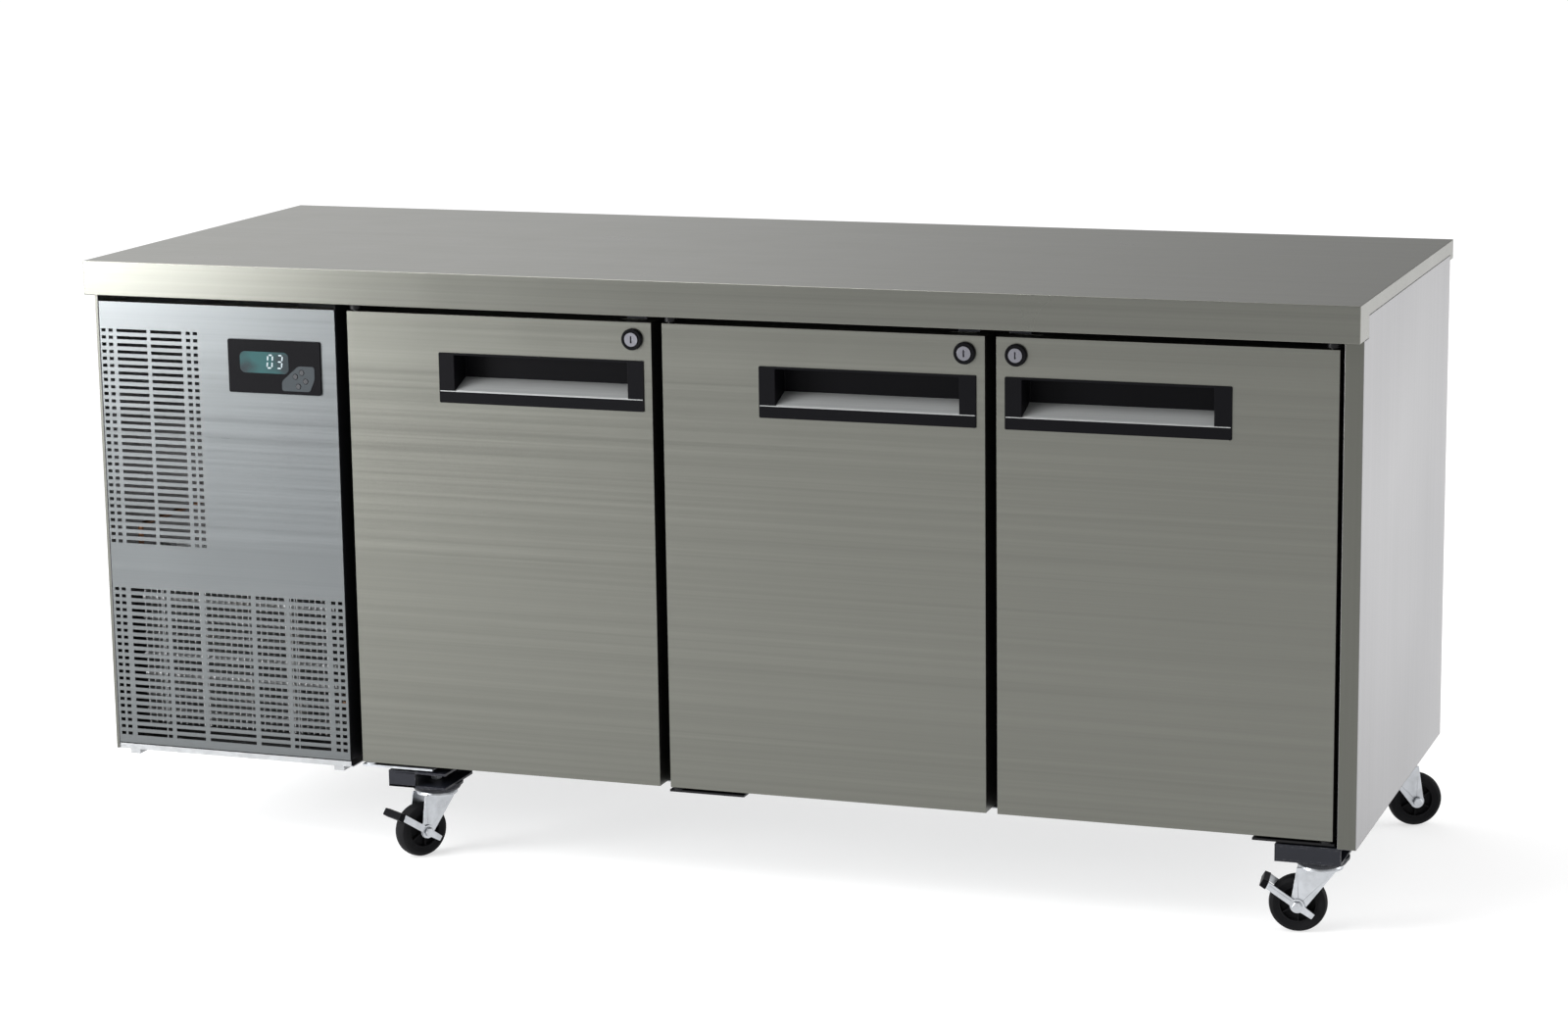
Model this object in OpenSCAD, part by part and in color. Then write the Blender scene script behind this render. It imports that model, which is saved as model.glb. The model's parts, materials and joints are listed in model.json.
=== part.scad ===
// Three-door under counter fridge with a side-mounted refrigeration unit.
// Millimetres. X runs along the counter, Y to the back, Z up from the floor.
// The origin is on the floor, under the middle of the worktop.

/* [Overall size] */
// Width of the worktop
overall_w = 1870; // [1700:10:2000]
// Depth of the worktop, nose to rear edge
overall_d = 700; // [680:10:760]
// Height of the worktop above the floor
overall_h = 870; // [865:5:900]

/* [Worktop] */
// Height of the front nose
nose_h = 50; // [45:1:55]
// Depth of the front nose
nose_d = 60; // [55:1:62]
// How far the nose stands out in front of the doors
nose_overhang = 30; // [26:1:34]
// Thickness of the slab behind the nose
slab_t = 20; // [18:1:24]
// Height of the rear downstand
rear_h = 28; // [24:1:32]
// How far the body stops short of the rear edge
rear_step = 25; // [20:1:30]

/* [Front layout] */
// Clearance of the body above the floor
body_z = 132; // [130:1:134]
// Thickness of the outer sheets
sheet = 1.5; // [1:0.1:2]
// Shadow gap between the nose and the doors
top_gap = 13; // [12:1:15]
// Height of the doors and of the machine panel
door_h = 665; // [650:1:668]
// Thickness of a door without its gasket
door_t = 50; // [48:1:54]
// Width of the machine panel
panel_w = 381; // [370:1:400]
// Left margin of the machine panel
panel_margin = 6; // [4:1:8]
// Gap between the machine panel and the first door
panel_gap = 20; // [18:1:24]
// Gap between two doors
door_gap = 16; // [14:1:18]
// Gap between the last door and the end post
post_gap = 6; // [5:1:8]
// Width of the end post
post_w = 26; // [24:1:30]

/* [Doors] */
// Distance of a hinge axis from the door edge and face
hinge_inset = 10; // [9:1:11]
// Radius of the hinge pins
hinge_pin_r = 5; // [4:0.5:5.5]
// Width of the gasket
gasket_w = 12; // [10:1:13]
// Thickness of the gasket behind the door
gasket_t = 9.6; // [9:0.1:9.6]
// Width of the handle surround
handle_w = 312; // [280:1:320]
// Height of the handle surround
handle_h = 72; // [70:1:76]
// Depth of the handle recess
handle_depth = 40; // [36:1:42]
// Radius of the lock barrel
lock_r = 8; // [7:0.5:9]

/* [Ventilation] */
// Number of rows in the lower grille
lower_rows = 22; // [10:1:22]
// Number of rows in the upper grille
upper_rows = 31; // [10:1:31]
// Height of a row with its web
row_pitch = 10.5; // [10:0.1:10.6]
// Height of a slot
slot_h = 4.8; // [4:0.1:5.5]

/* [Casters] */
// Radius of a wheel
wheel_r = 40; // [38:0.5:41]
// Width of a wheel
wheel_w = 26; // [24:1:28]
// Trail of a wheel behind its swivel axis
trail = 30; // [24:1:32]
// Swivel axis of the left casters from the middle of the counter
caster_left_x = -434; // [-460:1:-420]
// Swivel axis of the right casters from the middle of the counter
caster_right_x = 878; // [860:1:880]

/* [Hidden] */
$fn = 48;
clear = 0.3; // gap between bodies that pass each other
run_fit = 0.05; // radial play of a shaft in its hole
eps = 0.01; // overshoot of cutting shapes

half_w = overall_w / 2;
nose_y = -overall_d / 2;
rear_y = overall_d / 2;
face_y = nose_y + nose_overhang; // front face of the doors
nose_z = overall_h - nose_h; // underside of the nose
body_top = overall_h - slab_t; // top of the body
body_rear = rear_y - rear_step; // back of the body
door_top = nose_z - top_gap;
door_z = door_top - door_h;
door_rear = face_y + door_t;
gasket_gap = 10; // space between a door and the door frame
frame_y = door_rear + gasket_gap; // front of the door frame
frame_t = 25;

panel_x = -half_w + panel_margin;
panel_end = panel_x + panel_w;
post_x = half_w - post_w;
doors_x = panel_end + panel_gap;
door_w = (post_x - post_gap - doors_x - 2 * door_gap) / 3;
door_pitch = door_w + door_gap;
hinge_right = [false, false, true]; // the last door opens the other way

// Refrigerated cabinet
wall_x = panel_end + 3; // machine side of the insulation
foam_end = half_w - sheet;
wall_t = 60; // insulation of the ends and the ceiling
rear_wall_t = 50;
floor_wall_t = 52;
room_x = wall_x + wall_t;
room_end = foam_end - wall_t;
room_rear = body_rear - sheet - rear_wall_t;
room_z = body_z + sheet + floor_wall_t;
room_top = body_top - wall_t;
liner_t = 1;
mullion_w = 76;
rail_low = door_z + 43; // opening of the door frame
rail_top = door_top - 30;
frame_left = doors_x + 38;
frame_right = post_x - 35;
mullion_x = [for (i = [1:2]) doors_x + i * door_pitch - door_gap / 2];

// Handle and lock places on a door, from its handle-side edge and top
handle_end = 12;
handle_drop = 54;
handle_cheek = 24; // solid end of the surround
handle_bar = 17; // height of the lower bar
handle_lip = 3; // height of the upper bar
handle_wall = 2;
floor_rise = 9; // the recess floor climbs this much to the back
floor_run = handle_depth - handle_wall - 1;
lock_in = 28;
lock_drop = 24;
lock_len = 23; // housing behind the door face
lock_sleeve = 2; // wall of the housing
lock_collar = 5; // width of its front collar
cam_w = 12;
cam_len = 32;
cam_t = 2.5;

hinge_z0 = door_z - 3; // top of the bottom hinge plates
plate_t = 3;

// Machine compartment
unit_x = panel_x + panel_w / 2; // middle of the compartment
coil_w = 300;
coil_h = 270;
coil_t = 50;
coil_y = face_y + 22;
coil_z = body_z + 34;
fan_r = 108;
fan_y = coil_y + coil_t + 4; // front of the condenser fan
fan_t = 18;
shroud_d = 28;
fan_z = coil_z + coil_h / 2;
motor_r = 36;
motor_len = 60;
pot_r = 88; // compressor
pot_y = 60;
pot_z = body_z + 24;
pot_h = 190;
pipe_r = 4;

// Controller, from the top left corner of the machine panel
ctrl_w = 147;
ctrl_h = 78;
ctrl_x = panel_x + 210;
ctrl_z = door_top - 47 - ctrl_h;
ctrl_depth = 24;
ctrl_face = face_y - 3; // front of the bezel
button_r = 3.4;
button_at = [[0.73, 0.34], [0.80, 0.42], [0.84, 0.26], [0.76, 0.16]];

// Evaporator in the first bay
evap_w = 84;
evap_d = 380;
evap_h = 460;
evap_x = room_x + liner_t;
evap_y = -180;
evap_z = room_top - liner_t - evap_h;
evap_fan_r = 80;
evap_fan_z = evap_z + evap_h - 105;
evap_fan_y = evap_y + evap_d / 2;
evap_face = evap_x + evap_w;

// Shelves: one pair in each bay, between its posts
shelf_post = 14;
bay_x = [evap_face + 4, mullion_x[0] + shelf_post / 2 + 1, mullion_x[1] + shelf_post / 2 + 1];
bay_end = [mullion_x[0] - shelf_post / 2 - 1, mullion_x[1] - shelf_post / 2 - 1, room_end - liner_t];
shelf_z = [for (f = [0.30, 0.63]) room_z + f * (room_top - room_z)];
shelf_front = frame_y + frame_t + 4;
shelf_rear = room_rear - liner_t - 4;
wire_r = 2.5;
rim_r = 4;

// Casters: x, y, turn of the fork at rest, brake
caster_y = [face_y + 50, body_rear - 52];
casters = [
    [caster_left_x, caster_y[0], 58, true],
    [caster_right_x, caster_y[0], 8, true],
    [caster_left_x, caster_y[1], 150, false],
    [caster_right_x, caster_y[1], 205, false],
];
mount_h = 24;
mount_z = body_z - mount_h;
race_r = 39;
race_h = 10;
fork_top = mount_z - race_h - clear;
fork_plate = 6;
leg_t = 2.5;
leg_y = wheel_w / 2 + 2.5; // inner face of a fork leg
stem_r = 6;
axle_r = 4;
arm_t = 2;
arm_y = leg_y + leg_t + 0.6; // inner face of a brake arm
pedal_r = 51;
brake_tilt = 34;

// ---- helpers -------------------------------------------------------------

// A box between two opposite corners.
module block(low, high) {
    translate(low) cube(high - low);
}

// A cylinder along Y from y0 to y1.
module rod_y(r, y0, y1) {
    translate([0, y0, 0]) rotate([-90, 0, 0]) cylinder(h = y1 - y0, r = r);
}

// A cylinder along X from x0 to x1.
module rod_x(r, x0, x1) {
    translate([x0, 0, 0]) rotate([0, 90, 0]) cylinder(h = x1 - x0, r = r);
}

// A flat rectangle with round corners.
module soft_square(size, r) {
    translate([r, 0]) square([size[0] - 2 * r, size[1]]);
    translate([0, r]) square([size[0], size[1] - 2 * r]);
    for (x = [r, size[0] - r])
        for (y = [r, size[1] - r])
            translate([x, y]) circle(r);
}

// An upright plate in XZ, extruded from y0 to y1, its drawing in x and z.
module plate_y(y0, y1) {
    translate([0, y1, 0]) rotate([90, 0, 0]) linear_extrude(y1 - y0) children();
}

// A pipe along a list of points, with round elbows.
module pipe(points, r) {
    for (i = [0:len(points) - 2]) {
        run = points[i + 1] - points[i];
        length = norm(run);
        translate(points[i])
            rotate([0, acos(run[2] / length), atan2(run[1], run[0])])
                cylinder(h = length, r = r, $fn = 24);
    }
    for (i = [1:len(points) - 2])
        translate(points[i]) sphere(r, $fn = 24);
}

// Left edge of a door.
function door_x(i) = doors_x + i * door_pitch;

// A point on a door, measured from its handle-side edge.
function from_edge(i, inset) = hinge_right[i] ? door_x(i) + inset : door_x(i) + door_w - inset;

// The hinge axis of a door.
function hinge_x(i) = hinge_right[i] ? door_x(i) + door_w - hinge_inset : door_x(i) + hinge_inset;

function lock_x(i) = from_edge(i, lock_in);
lock_z = door_top - lock_drop;

// Left end of a door's handle surround.
function handle_x(i) = hinge_right[i] ? door_x(i) + handle_end : door_x(i) + door_w - handle_end - handle_w;
handle_z = door_top - handle_drop - handle_h;
recess_z = handle_z + handle_bar;
recess_top = handle_z + handle_h - handle_lip;

// ---- worktop -------------------------------------------------------------

// The worktop's volume, drawn in by t from every outside face.
module worktop_volume(t) {
    block([-half_w + t, nose_y + t, body_top], [half_w - t, rear_y - t, overall_h - t]);
    block([-half_w + t, nose_y + t, nose_z + t], [half_w - t, nose_y + nose_d - t, overall_h - t]);
    block([-half_w + t, body_rear + 1 + t, overall_h - rear_h + t], [half_w - t, rear_y - t, overall_h - t]);
}

module worktop_skin() {
    color("Silver") difference() {
        worktop_volume(0);
        worktop_volume(sheet);
        // open underside between the nose and the rear downstand
        block([-half_w + sheet, nose_y + nose_d, body_top - eps],
              [half_w - sheet, body_rear, overall_h - sheet]);
    }
}

module worktop_core() {
    color("Wheat") worktop_volume(sheet);
}

// ---- body panels ---------------------------------------------------------

// Space taken by the nose, cut from what stands under it.
module nose_space() {
    block([-half_w - 1, nose_y - 1, nose_z], [half_w + 1, nose_y + nose_d, overall_h]);
}

module side_panel_right() {
    color("Gainsboro") difference() {
        union() {
            block([half_w - sheet, face_y, body_z], [half_w, body_rear, body_top]);
            block([post_x, face_y, body_z], [half_w, face_y + sheet, body_top]);
            block([post_x, face_y, body_z], [post_x + sheet, frame_y, body_top]);
        }
        nose_space();
    }
}

module side_panel_left() {
    color("Gainsboro") difference() {
        union() {
            block([-half_w, face_y, body_z], [-half_w + sheet, body_rear, body_top]);
            block([-half_w, face_y, body_z], [panel_x - 1, face_y + sheet, body_top]);
        }
        nose_space();
    }
}

module back_panel() {
    vent_w = 90;
    vent_gap = 18;
    vent_pitch = 16;
    vents = [3, 16]; // columns and rows
    vent_z = body_z + 120;
    color("Silver") difference() {
        block([-half_w + sheet, body_rear - sheet, body_z + sheet],
              [half_w - sheet, body_rear, body_top]);
        for (col = [0:vents[0] - 1])
            for (row = [0:vents[1] - 1])
                translate([panel_x + 38 + col * (vent_w + vent_gap), body_rear, vent_z + row * vent_pitch])
                    block([0, -2 * sheet, 0], [vent_w, sheet, slot_h]);
        translate([gland_x, 0, gland_z]) rod_y(gland_thread_r, body_rear - 2 * sheet, body_rear + 1);
    }
}

module base_pan() {
    lip = door_z - body_z - 2;
    tab = [16, 30, 8];
    color("DarkGray") {
        block([-half_w + sheet, face_y + sheet, body_z], [panel_end + 3, body_rear, body_z + sheet]);
        block([panel_end + 3 - eps, frame_y, body_z], [half_w - sheet, body_rear, body_z + sheet]);
        block([-half_w + sheet, face_y + sheet, body_z], [panel_end, face_y + 2 * sheet, body_z + lip]);
        for (x = [panel_x + 14, panel_end - 30])
            translate([x, face_y + 6, body_z - tab[2]]) cube([tab[0], tab[1], tab[2] + eps]);
    }
}

module bulkhead() {
    color("Silver")
        block([wall_x - sheet, frame_y, body_z + sheet], [wall_x, body_rear - sheet, body_top]);
}

// ---- refrigerated cabinet ------------------------------------------------

module cabinet_foam() {
    color("Khaki") difference() {
        block([wall_x, frame_y + frame_t, body_z + sheet], [foam_end, body_rear - sheet, body_top]);
        block([room_x, frame_y, room_z], [room_end, room_rear, room_top]);
    }
}

module cabinet_liner() {
    color("LightGray") difference() {
        block([room_x, frame_y + frame_t, room_z], [room_end, room_rear, room_top]);
        block([room_x + liner_t, frame_y, room_z + liner_t],
              [room_end - liner_t, room_rear - liner_t, room_top - liner_t]);
    }
}

// Two rails, two ends and two mullions that the gaskets close on.
module door_frame() {
    y1 = frame_y + frame_t;
    seam = 0.2; // hairline between the pieces
    color("DimGray") {
        block([wall_x, frame_y, body_z + sheet], [foam_end, y1, rail_low - seam]);
        block([wall_x, frame_y, rail_top + seam], [foam_end, y1, body_top]);
        block([wall_x, frame_y, rail_low], [frame_left, y1, rail_top]);
        block([frame_right, frame_y, rail_low], [foam_end, y1, rail_top]);
        for (x = mullion_x)
            block([x - mullion_w / 2, frame_y, rail_low], [x + mullion_w / 2, y1, rail_top]);
    }
}

// ---- machine panel -------------------------------------------------------

// Slots and square holes of one grille row, as [start, width] from the panel's left edge.
lower_row = [
    for (side = [-1, 1])
        for (hole = [[-70, 48], [-104.5, 7], [-135, 50], [-172, 7], [-183, 7]])
            [panel_w / 2 + side * hole[0] - hole[1] / 2, hole[1]],
    [panel_w / 2 - 38, 76],
];
upper_row = [[2.5, 7], [14, 7], [27.5, 49.5], [83, 51], [141, 7], [152.5, 7]];

module grille(row, count, z0) {
    for (k = [0:count - 1])
        for (hole = row)
            translate([hole[0], z0 + k * row_pitch]) square([hole[1], slot_h]);
}

module machine_front_panel() {
    flange = 18;
    lower_z = 12;
    upper_z = door_h - 40 - slot_h - (upper_rows - 1) * row_pitch;
    color("LightSteelBlue") translate([panel_x, 0, door_z]) {
        plate_y(face_y, face_y + sheet) difference() {
            square([panel_w, door_h]);
            grille(lower_row, lower_rows, lower_z);
            grille(upper_row, upper_rows, upper_z);
            translate([ctrl_x - panel_x + 3, ctrl_z - door_z + 3])
                square([ctrl_w - 6, ctrl_h - 6]);
        }
        plate_y(face_y + sheet - eps, face_y + flange) difference() {
            square([panel_w, door_h]);
            translate([sheet, sheet]) square([panel_w - 2 * sheet, door_h - 2 * sheet]);
        }
    }
}

window_x = ctrl_x + 0.13 * ctrl_w;
window_z = ctrl_z + 0.38 * ctrl_h;
window_size = [0.53 * ctrl_w, 0.40 * ctrl_h];

module controller_bezel() {
    color("Black") difference() {
        union() {
            translate([ctrl_x, 0, ctrl_z])
                plate_y(ctrl_face, face_y) soft_square([ctrl_w, ctrl_h], 3);
            block([ctrl_x + 4, face_y - eps, ctrl_z + 4],
                  [ctrl_x + ctrl_w - 4, face_y + ctrl_depth, ctrl_z + ctrl_h - 4]);
        }
        translate([window_x - 0.2, 0, window_z - 0.2])
            plate_y(ctrl_face - 1, ctrl_face + 1.6)
                soft_square(window_size + [0.4, 0.4], 8);
        for (at = button_at)
            translate([ctrl_x + at[0] * ctrl_w, 0, ctrl_z + at[1] * ctrl_h])
                rod_y(button_r + clear, ctrl_face - 1, face_y + 6);
    }
}

module controller_window() {
    color("Teal") translate([window_x, 0, window_z])
        plate_y(ctrl_face - 0.4, ctrl_face + 1.6) soft_square(window_size, 8);
}

module button(i) {
    color("DimGray")
        translate([ctrl_x + button_at[i][0] * ctrl_w, 0, ctrl_z + button_at[i][1] * ctrl_h])
            rod_y(button_r, ctrl_face - 1.2, face_y + 4);
}

// ---- refrigeration unit --------------------------------------------------

module compressor() {
    base = [200, 160, plate_t];
    color("#202020") translate([unit_x, pot_y, 0]) {
        translate([-base[0] / 2, -base[1] / 2, pot_z - plate_t - 6]) cube(base);
        for (x = [-86, 86])
            for (y = [-64, 64])
                translate([x, y, body_z + sheet]) cylinder(h = pot_z - 9 - body_z - sheet + eps, r = 11);
        translate([0, 0, pot_z - 6 - eps]) cylinder(h = 20, r = pot_r - 14);
        translate([0, 0, pot_z]) rotate_extrude() compressor_profile();
        translate([-40, -pot_r - 22, pot_z + 60]) cube([80, 40, 62]);
        // suction and discharge stubs
        for (x = [-30, 30])
            translate([x, 0, pot_z + 100]) rotate([-90, 0, 0]) cylinder(h = pot_r + 14, r = 6);
    }
}

// Half section of the welded pot: straight wall with a domed top and foot.
module compressor_profile() {
    foot = 26;
    dome = 46;
    dome_r = (pot_r * pot_r + dome * dome) / (2 * dome);
    seam = [4, 5]; // weld bead round the pot
    translate([0, foot]) square([pot_r, pot_h - foot - dome]);
    intersection() {
        translate([0, foot]) circle(pot_r);
        square([pot_r, foot + eps]);
    }
    intersection() {
        translate([0, pot_h - dome_r]) circle(dome_r);
        translate([0, pot_h - dome - eps]) square([pot_r, dome + eps]);
    }
    translate([0, pot_h / 2]) square([pot_r + seam[0], seam[1]]);
}

// Tube rows of the condenser, as heights of their centres.
tube_rows = [for (k = [0:8]) coil_z + 19 + k * 29];

module condenser() {
    x0 = unit_x - coil_w / 2;
    x1 = unit_x + coil_w / 2;
    fin_pitch = 10;
    color("DarkGray") {
        for (x = [x0, x1 - 2]) block([x, coil_y, coil_z], [x + 2, coil_y + coil_t, coil_z + coil_h]);
        for (x = [x0 + fin_pitch:fin_pitch:x1 - fin_pitch])
            block([x, coil_y + 2, coil_z + 4], [x + 1, coil_y + coil_t - 2, coil_z + coil_h - 4]);
        for (z = tube_rows)
            for (y = [coil_y + 13, coil_y + coil_t - 13])
                translate([0, y, z]) rod_x(4.5, x0 - 8, x1 + 8, $fn = 20);
    }
}

module fan_shroud() {
    x0 = unit_x - coil_w / 2;
    y0 = coil_y + coil_t + 0.5;
    y1 = y0 + shroud_d;
    color("Gray") {
        difference() {
            union() {
                block([x0, y0, coil_z], [x0 + coil_w, y0 + 1.5, coil_z + coil_h]);
                translate([unit_x, 0, fan_z]) rod_y(fan_r + 6, y0, y1);
            }
            translate([unit_x, 0, fan_z]) rod_y(fan_r + 4, y0 - 1, y1 + 1);
        }
        for (a = [45:90:315])
            translate([unit_x, 0, fan_z]) rotate([0, a, 0])
                block([motor_r + 0.4, y1 - 3, -6], [fan_r + 5, y1, 6]);
    }
}

motor_y = coil_y + coil_t + 0.5 + shroud_d - 3; // front of the condenser fan motor
shaft_r = 3;
evap_motor_x = evap_face - 42; // front of the evaporator fan motor

// Both fan motors are the same type, one smaller than the other.
module fan_motors() {
    color("DarkSlateGray") {
        translate([unit_x, 0, fan_z]) {
            rod_y(motor_r, motor_y, motor_y + motor_len);
            rod_y(shaft_r, fan_y + 2, motor_y + eps);
        }
        translate([0, evap_fan_y, evap_fan_z]) {
            rod_x(26, evap_x + sheet + 2, evap_motor_x);
            rod_x(shaft_r, evap_motor_x - eps, evap_face - 14);
        }
        // foot that carries the evaporator fan motor
        block([evap_x + sheet, evap_fan_y - 20, evap_fan_z - 20],
              [evap_x + sheet + 2 + eps, evap_fan_y + 20, evap_fan_z + 20]);
    }
}

// A fan about Z: hub with a bore, and blades pitched across its height.
module fan(r, height, blades) {
    hub_r = r * 0.27;
    difference() {
        union() {
            cylinder(h = height, r = hub_r);
            for (k = [0:blades - 1])
                rotate([0, 0, k * 360 / blades])
                    intersection() {
                        translate([hub_r - 2, 0, height / 2]) rotate([28, 0, 0])
                            translate([0, -r * 0.32, -0.9]) cube([r - hub_r + 2, r * 0.64, 1.8]);
                        cylinder(h = height, r = r);
                    }
        }
        translate([0, 0, -1]) cylinder(h = height + 2, r = shaft_r + run_fit);
    }
}

module condenser_fan() {
    color("DimGray") translate([unit_x, fan_y, fan_z]) rotate([-90, 0, 0]) fan(fan_r, fan_t, 5);
}

module evaporator_fan() {
    color("DimGray") translate([evap_face - 34, evap_fan_y, evap_fan_z]) rotate([0, 90, 0]) fan(evap_fan_r, 16, 5);
}

module refrigerant_pipes() {
    stub_y = pot_y + pot_r + 14;
    stub_z = pot_z + 100;
    bend_y = stub_y + 24;
    left_x = unit_x - coil_w / 2 - 8 - pipe_r;
    right_x = unit_x + coil_w / 2 + 8 + pipe_r;
    wall = wall_x - sheet;
    over_z = coil_z + coil_h + 30;
    drier_y = -60;
    drier_z = coil_z + 90;
    drier_h = 110;
    color("Peru") {
        // discharge line from the compressor to the condenser
        pipe([[unit_x - 30, stub_y, stub_z], [unit_x - 30, bend_y, stub_z],
              [left_x, bend_y, stub_z], [left_x, bend_y, over_z],
              [left_x, coil_y + 20, over_z], [left_x, coil_y + 20, over_z - 60]], pipe_r);
        // suction line through the bulkhead
        pipe([[unit_x + 30, stub_y, stub_z], [unit_x + 30, bend_y, stub_z],
              [unit_x + 30, bend_y, room_top - 60], [wall, bend_y, room_top - 60]], pipe_r + 1);
        // liquid line through the filter drier
        pipe([[right_x, coil_y + 20, coil_z + 48], [right_x, drier_y, coil_z + 48],
              [right_x, drier_y, room_top - 120], [wall, drier_y, room_top - 120]], pipe_r);
        translate([right_x, drier_y, drier_z]) cylinder(h = drier_h, r = 14);
    }
}

module evaporator_coil() {
    x0 = evap_x + 10;
    x1 = evap_x + evap_w - 12;
    y0 = evap_y + 30;
    y1 = evap_y + evap_d - 30;
    z0 = evap_z + 40;
    coil_top = z0 + 190;
    color("DarkGray") {
        for (y = [y0 + 8:12:y1 - 8])
            block([x0, y, z0], [x1, y + 1, coil_top]);
        for (k = [0:5])
            for (x = [x0 + 16, x1 - 16])
                translate([x, 0, z0 + 20 + k * 30]) rod_y(4.5, y0, y1, $fn = 20);
    }
}

module evaporator_housing() {
    color("WhiteSmoke") difference() {
        block([evap_x, evap_y, evap_z], [evap_face, evap_y + evap_d, evap_z + evap_h]);
        block([evap_x + sheet, evap_y + sheet, evap_z + sheet],
              [evap_face - sheet, evap_y + evap_d - sheet, evap_z + evap_h - sheet]);
        // fan opening, return slots and drain
        translate([0, evap_fan_y, evap_fan_z]) rod_x(evap_fan_r + 4, evap_face - 2 * sheet, evap_face + 1);
        for (k = [0:9])
            block([evap_face - 2 * sheet, evap_y + 30, evap_z + 40 + k * 18],
                  [evap_face + 1, evap_y + evap_d - 30, evap_z + 48 + k * 18]);
        translate([evap_x + 30, evap_fan_y, evap_z - 1]) cylinder(h = 4, r = 6);
    }
}

// ---- shelves -------------------------------------------------------------

// One welded wire shelf: a rim, three cross rods and wires laid over them.
module shelf(x0, x1, z) {
    wire_pitch = 30;
    count = floor((x1 - x0 - 2 * rim_r) / wire_pitch);
    start = (x0 + x1 - (count - 1) * wire_pitch) / 2;
    for (x = [x0 + rim_r, x1 - rim_r])
        translate([x, 0, z]) rod_y(rim_r, shelf_front + rim_r, shelf_rear - rim_r);
    for (y = [shelf_front + rim_r, shelf_rear - rim_r])
        translate([0, y, z]) rod_x(rim_r, x0 + rim_r, x1 - rim_r);
    for (x = [x0 + rim_r, x1 - rim_r])
        for (y = [shelf_front + rim_r, shelf_rear - rim_r])
            translate([x, y, z]) sphere(rim_r);
    for (f = [0.33, 0.67])
        translate([0, shelf_front + f * (shelf_rear - shelf_front), z])
            rod_x(wire_r + 0.5, x0 + rim_r, x1 - rim_r);
    for (k = [0:count - 1])
        translate([start + k * wire_pitch, 0, z + rim_r]) rod_y(wire_r, shelf_front + 1, shelf_rear - 1);
}

module wire_shelves() {
    inset = shelf_post + 2;
    color("Silver")
        for (bay = [0:2])
            for (z = shelf_z)
                shelf(bay_x[bay] + inset, bay_end[bay] - inset, z, $fn = 16);
}

// Corner posts of every bay, each with a clip under both of its shelves.
module shelf_posts() {
    post_z0 = room_z + liner_t;
    post_z1 = room_top - liner_t;
    clip = [12, 10, 3];
    color("LightGray")
        for (bay = [0:2])
            for (side = [0, 1])
                for (y = [shelf_front, shelf_rear - shelf_post]) {
                    x = side == 0 ? bay_x[bay] : bay_end[bay] - shelf_post;
                    block([x, y, post_z0], [x + shelf_post, y + shelf_post, post_z1]);
                    for (z = shelf_z)
                        translate([side == 0 ? x + shelf_post - eps : x - clip[0] + eps, y, z - rim_r - clip[2]])
                            cube(clip);
                }
}

// ---- hinges and locks ----------------------------------------------------

// Bottom plate with a collar and a pin up into the door, and a short top plate with a pin down.
module hinge_pair(i) {
    x = hinge_x(i);
    y = face_y + hinge_inset;
    side = hinge_right[i] ? -1 : 1;
    front = y - 8; // front edge of both plates
    near = x - side * 12;
    low_far = x + side * 100;
    top_far = x + side * 46;
    collar_r = 9;
    pin_reach = 13; // of each pin into the door
    low_z = hinge_z0 - 1;
    top_z = nose_z - plate_t;
    block([min(near, low_far), front, low_z - plate_t], [max(near, low_far), frame_y, low_z]);
    translate([x, y, low_z - eps]) cylinder(h = 3, r = collar_r);
    translate([x, y, low_z - eps]) cylinder(h = 4 + pin_reach, r = hinge_pin_r);
    block([min(near, top_far), front, top_z], [max(near, top_far), nose_y + nose_d, nose_z]);
    translate([x, y, top_z - 8]) cylinder(h = 8 + eps, r = collar_r);
    translate([x, y, door_top - pin_reach]) cylinder(h = top_z - door_top + pin_reach, r = hinge_pin_r);
}

module hinge_brackets() {
    color("Silver") for (i = [0:2]) hinge_pair(i);
}

// Tabs welded under the nose, which the lock cams turn up behind.
module lock_keepers() {
    tab_w = 30;
    tab_t = 2;
    tab_y = face_y + lock_len - 1 - tab_t;
    color("Silver") for (i = [0:2])
        translate([lock_x(i) - tab_w / 2, tab_y, door_top + 2]) cube([tab_w, tab_t, top_gap - 2]);
}

// ---- doors ---------------------------------------------------------------

// Opening of the handle recess in the outer skin, and its sloped steel floor.
module recess_floor(i) {
    x0 = handle_x(i) + handle_cheek;
    x1 = x0 + handle_w - 2 * handle_cheek;
    translate([x1, 0, 0]) rotate([90, 0, -90]) linear_extrude(x1 - x0)
        polygon([[-face_y, recess_z - sheet], [-face_y, recess_z],
                 [-face_y - floor_run, recess_z + floor_rise],
                 [-face_y - floor_run, recess_z + floor_rise - sheet]]);
}

module hinge_bores(i, r) {
    reach = 18;
    translate([hinge_x(i), face_y + hinge_inset, door_z - 1]) cylinder(h = reach + 1, r = r);
    translate([hinge_x(i), face_y + hinge_inset, door_top - reach]) cylinder(h = reach + 1, r = r);
}

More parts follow.
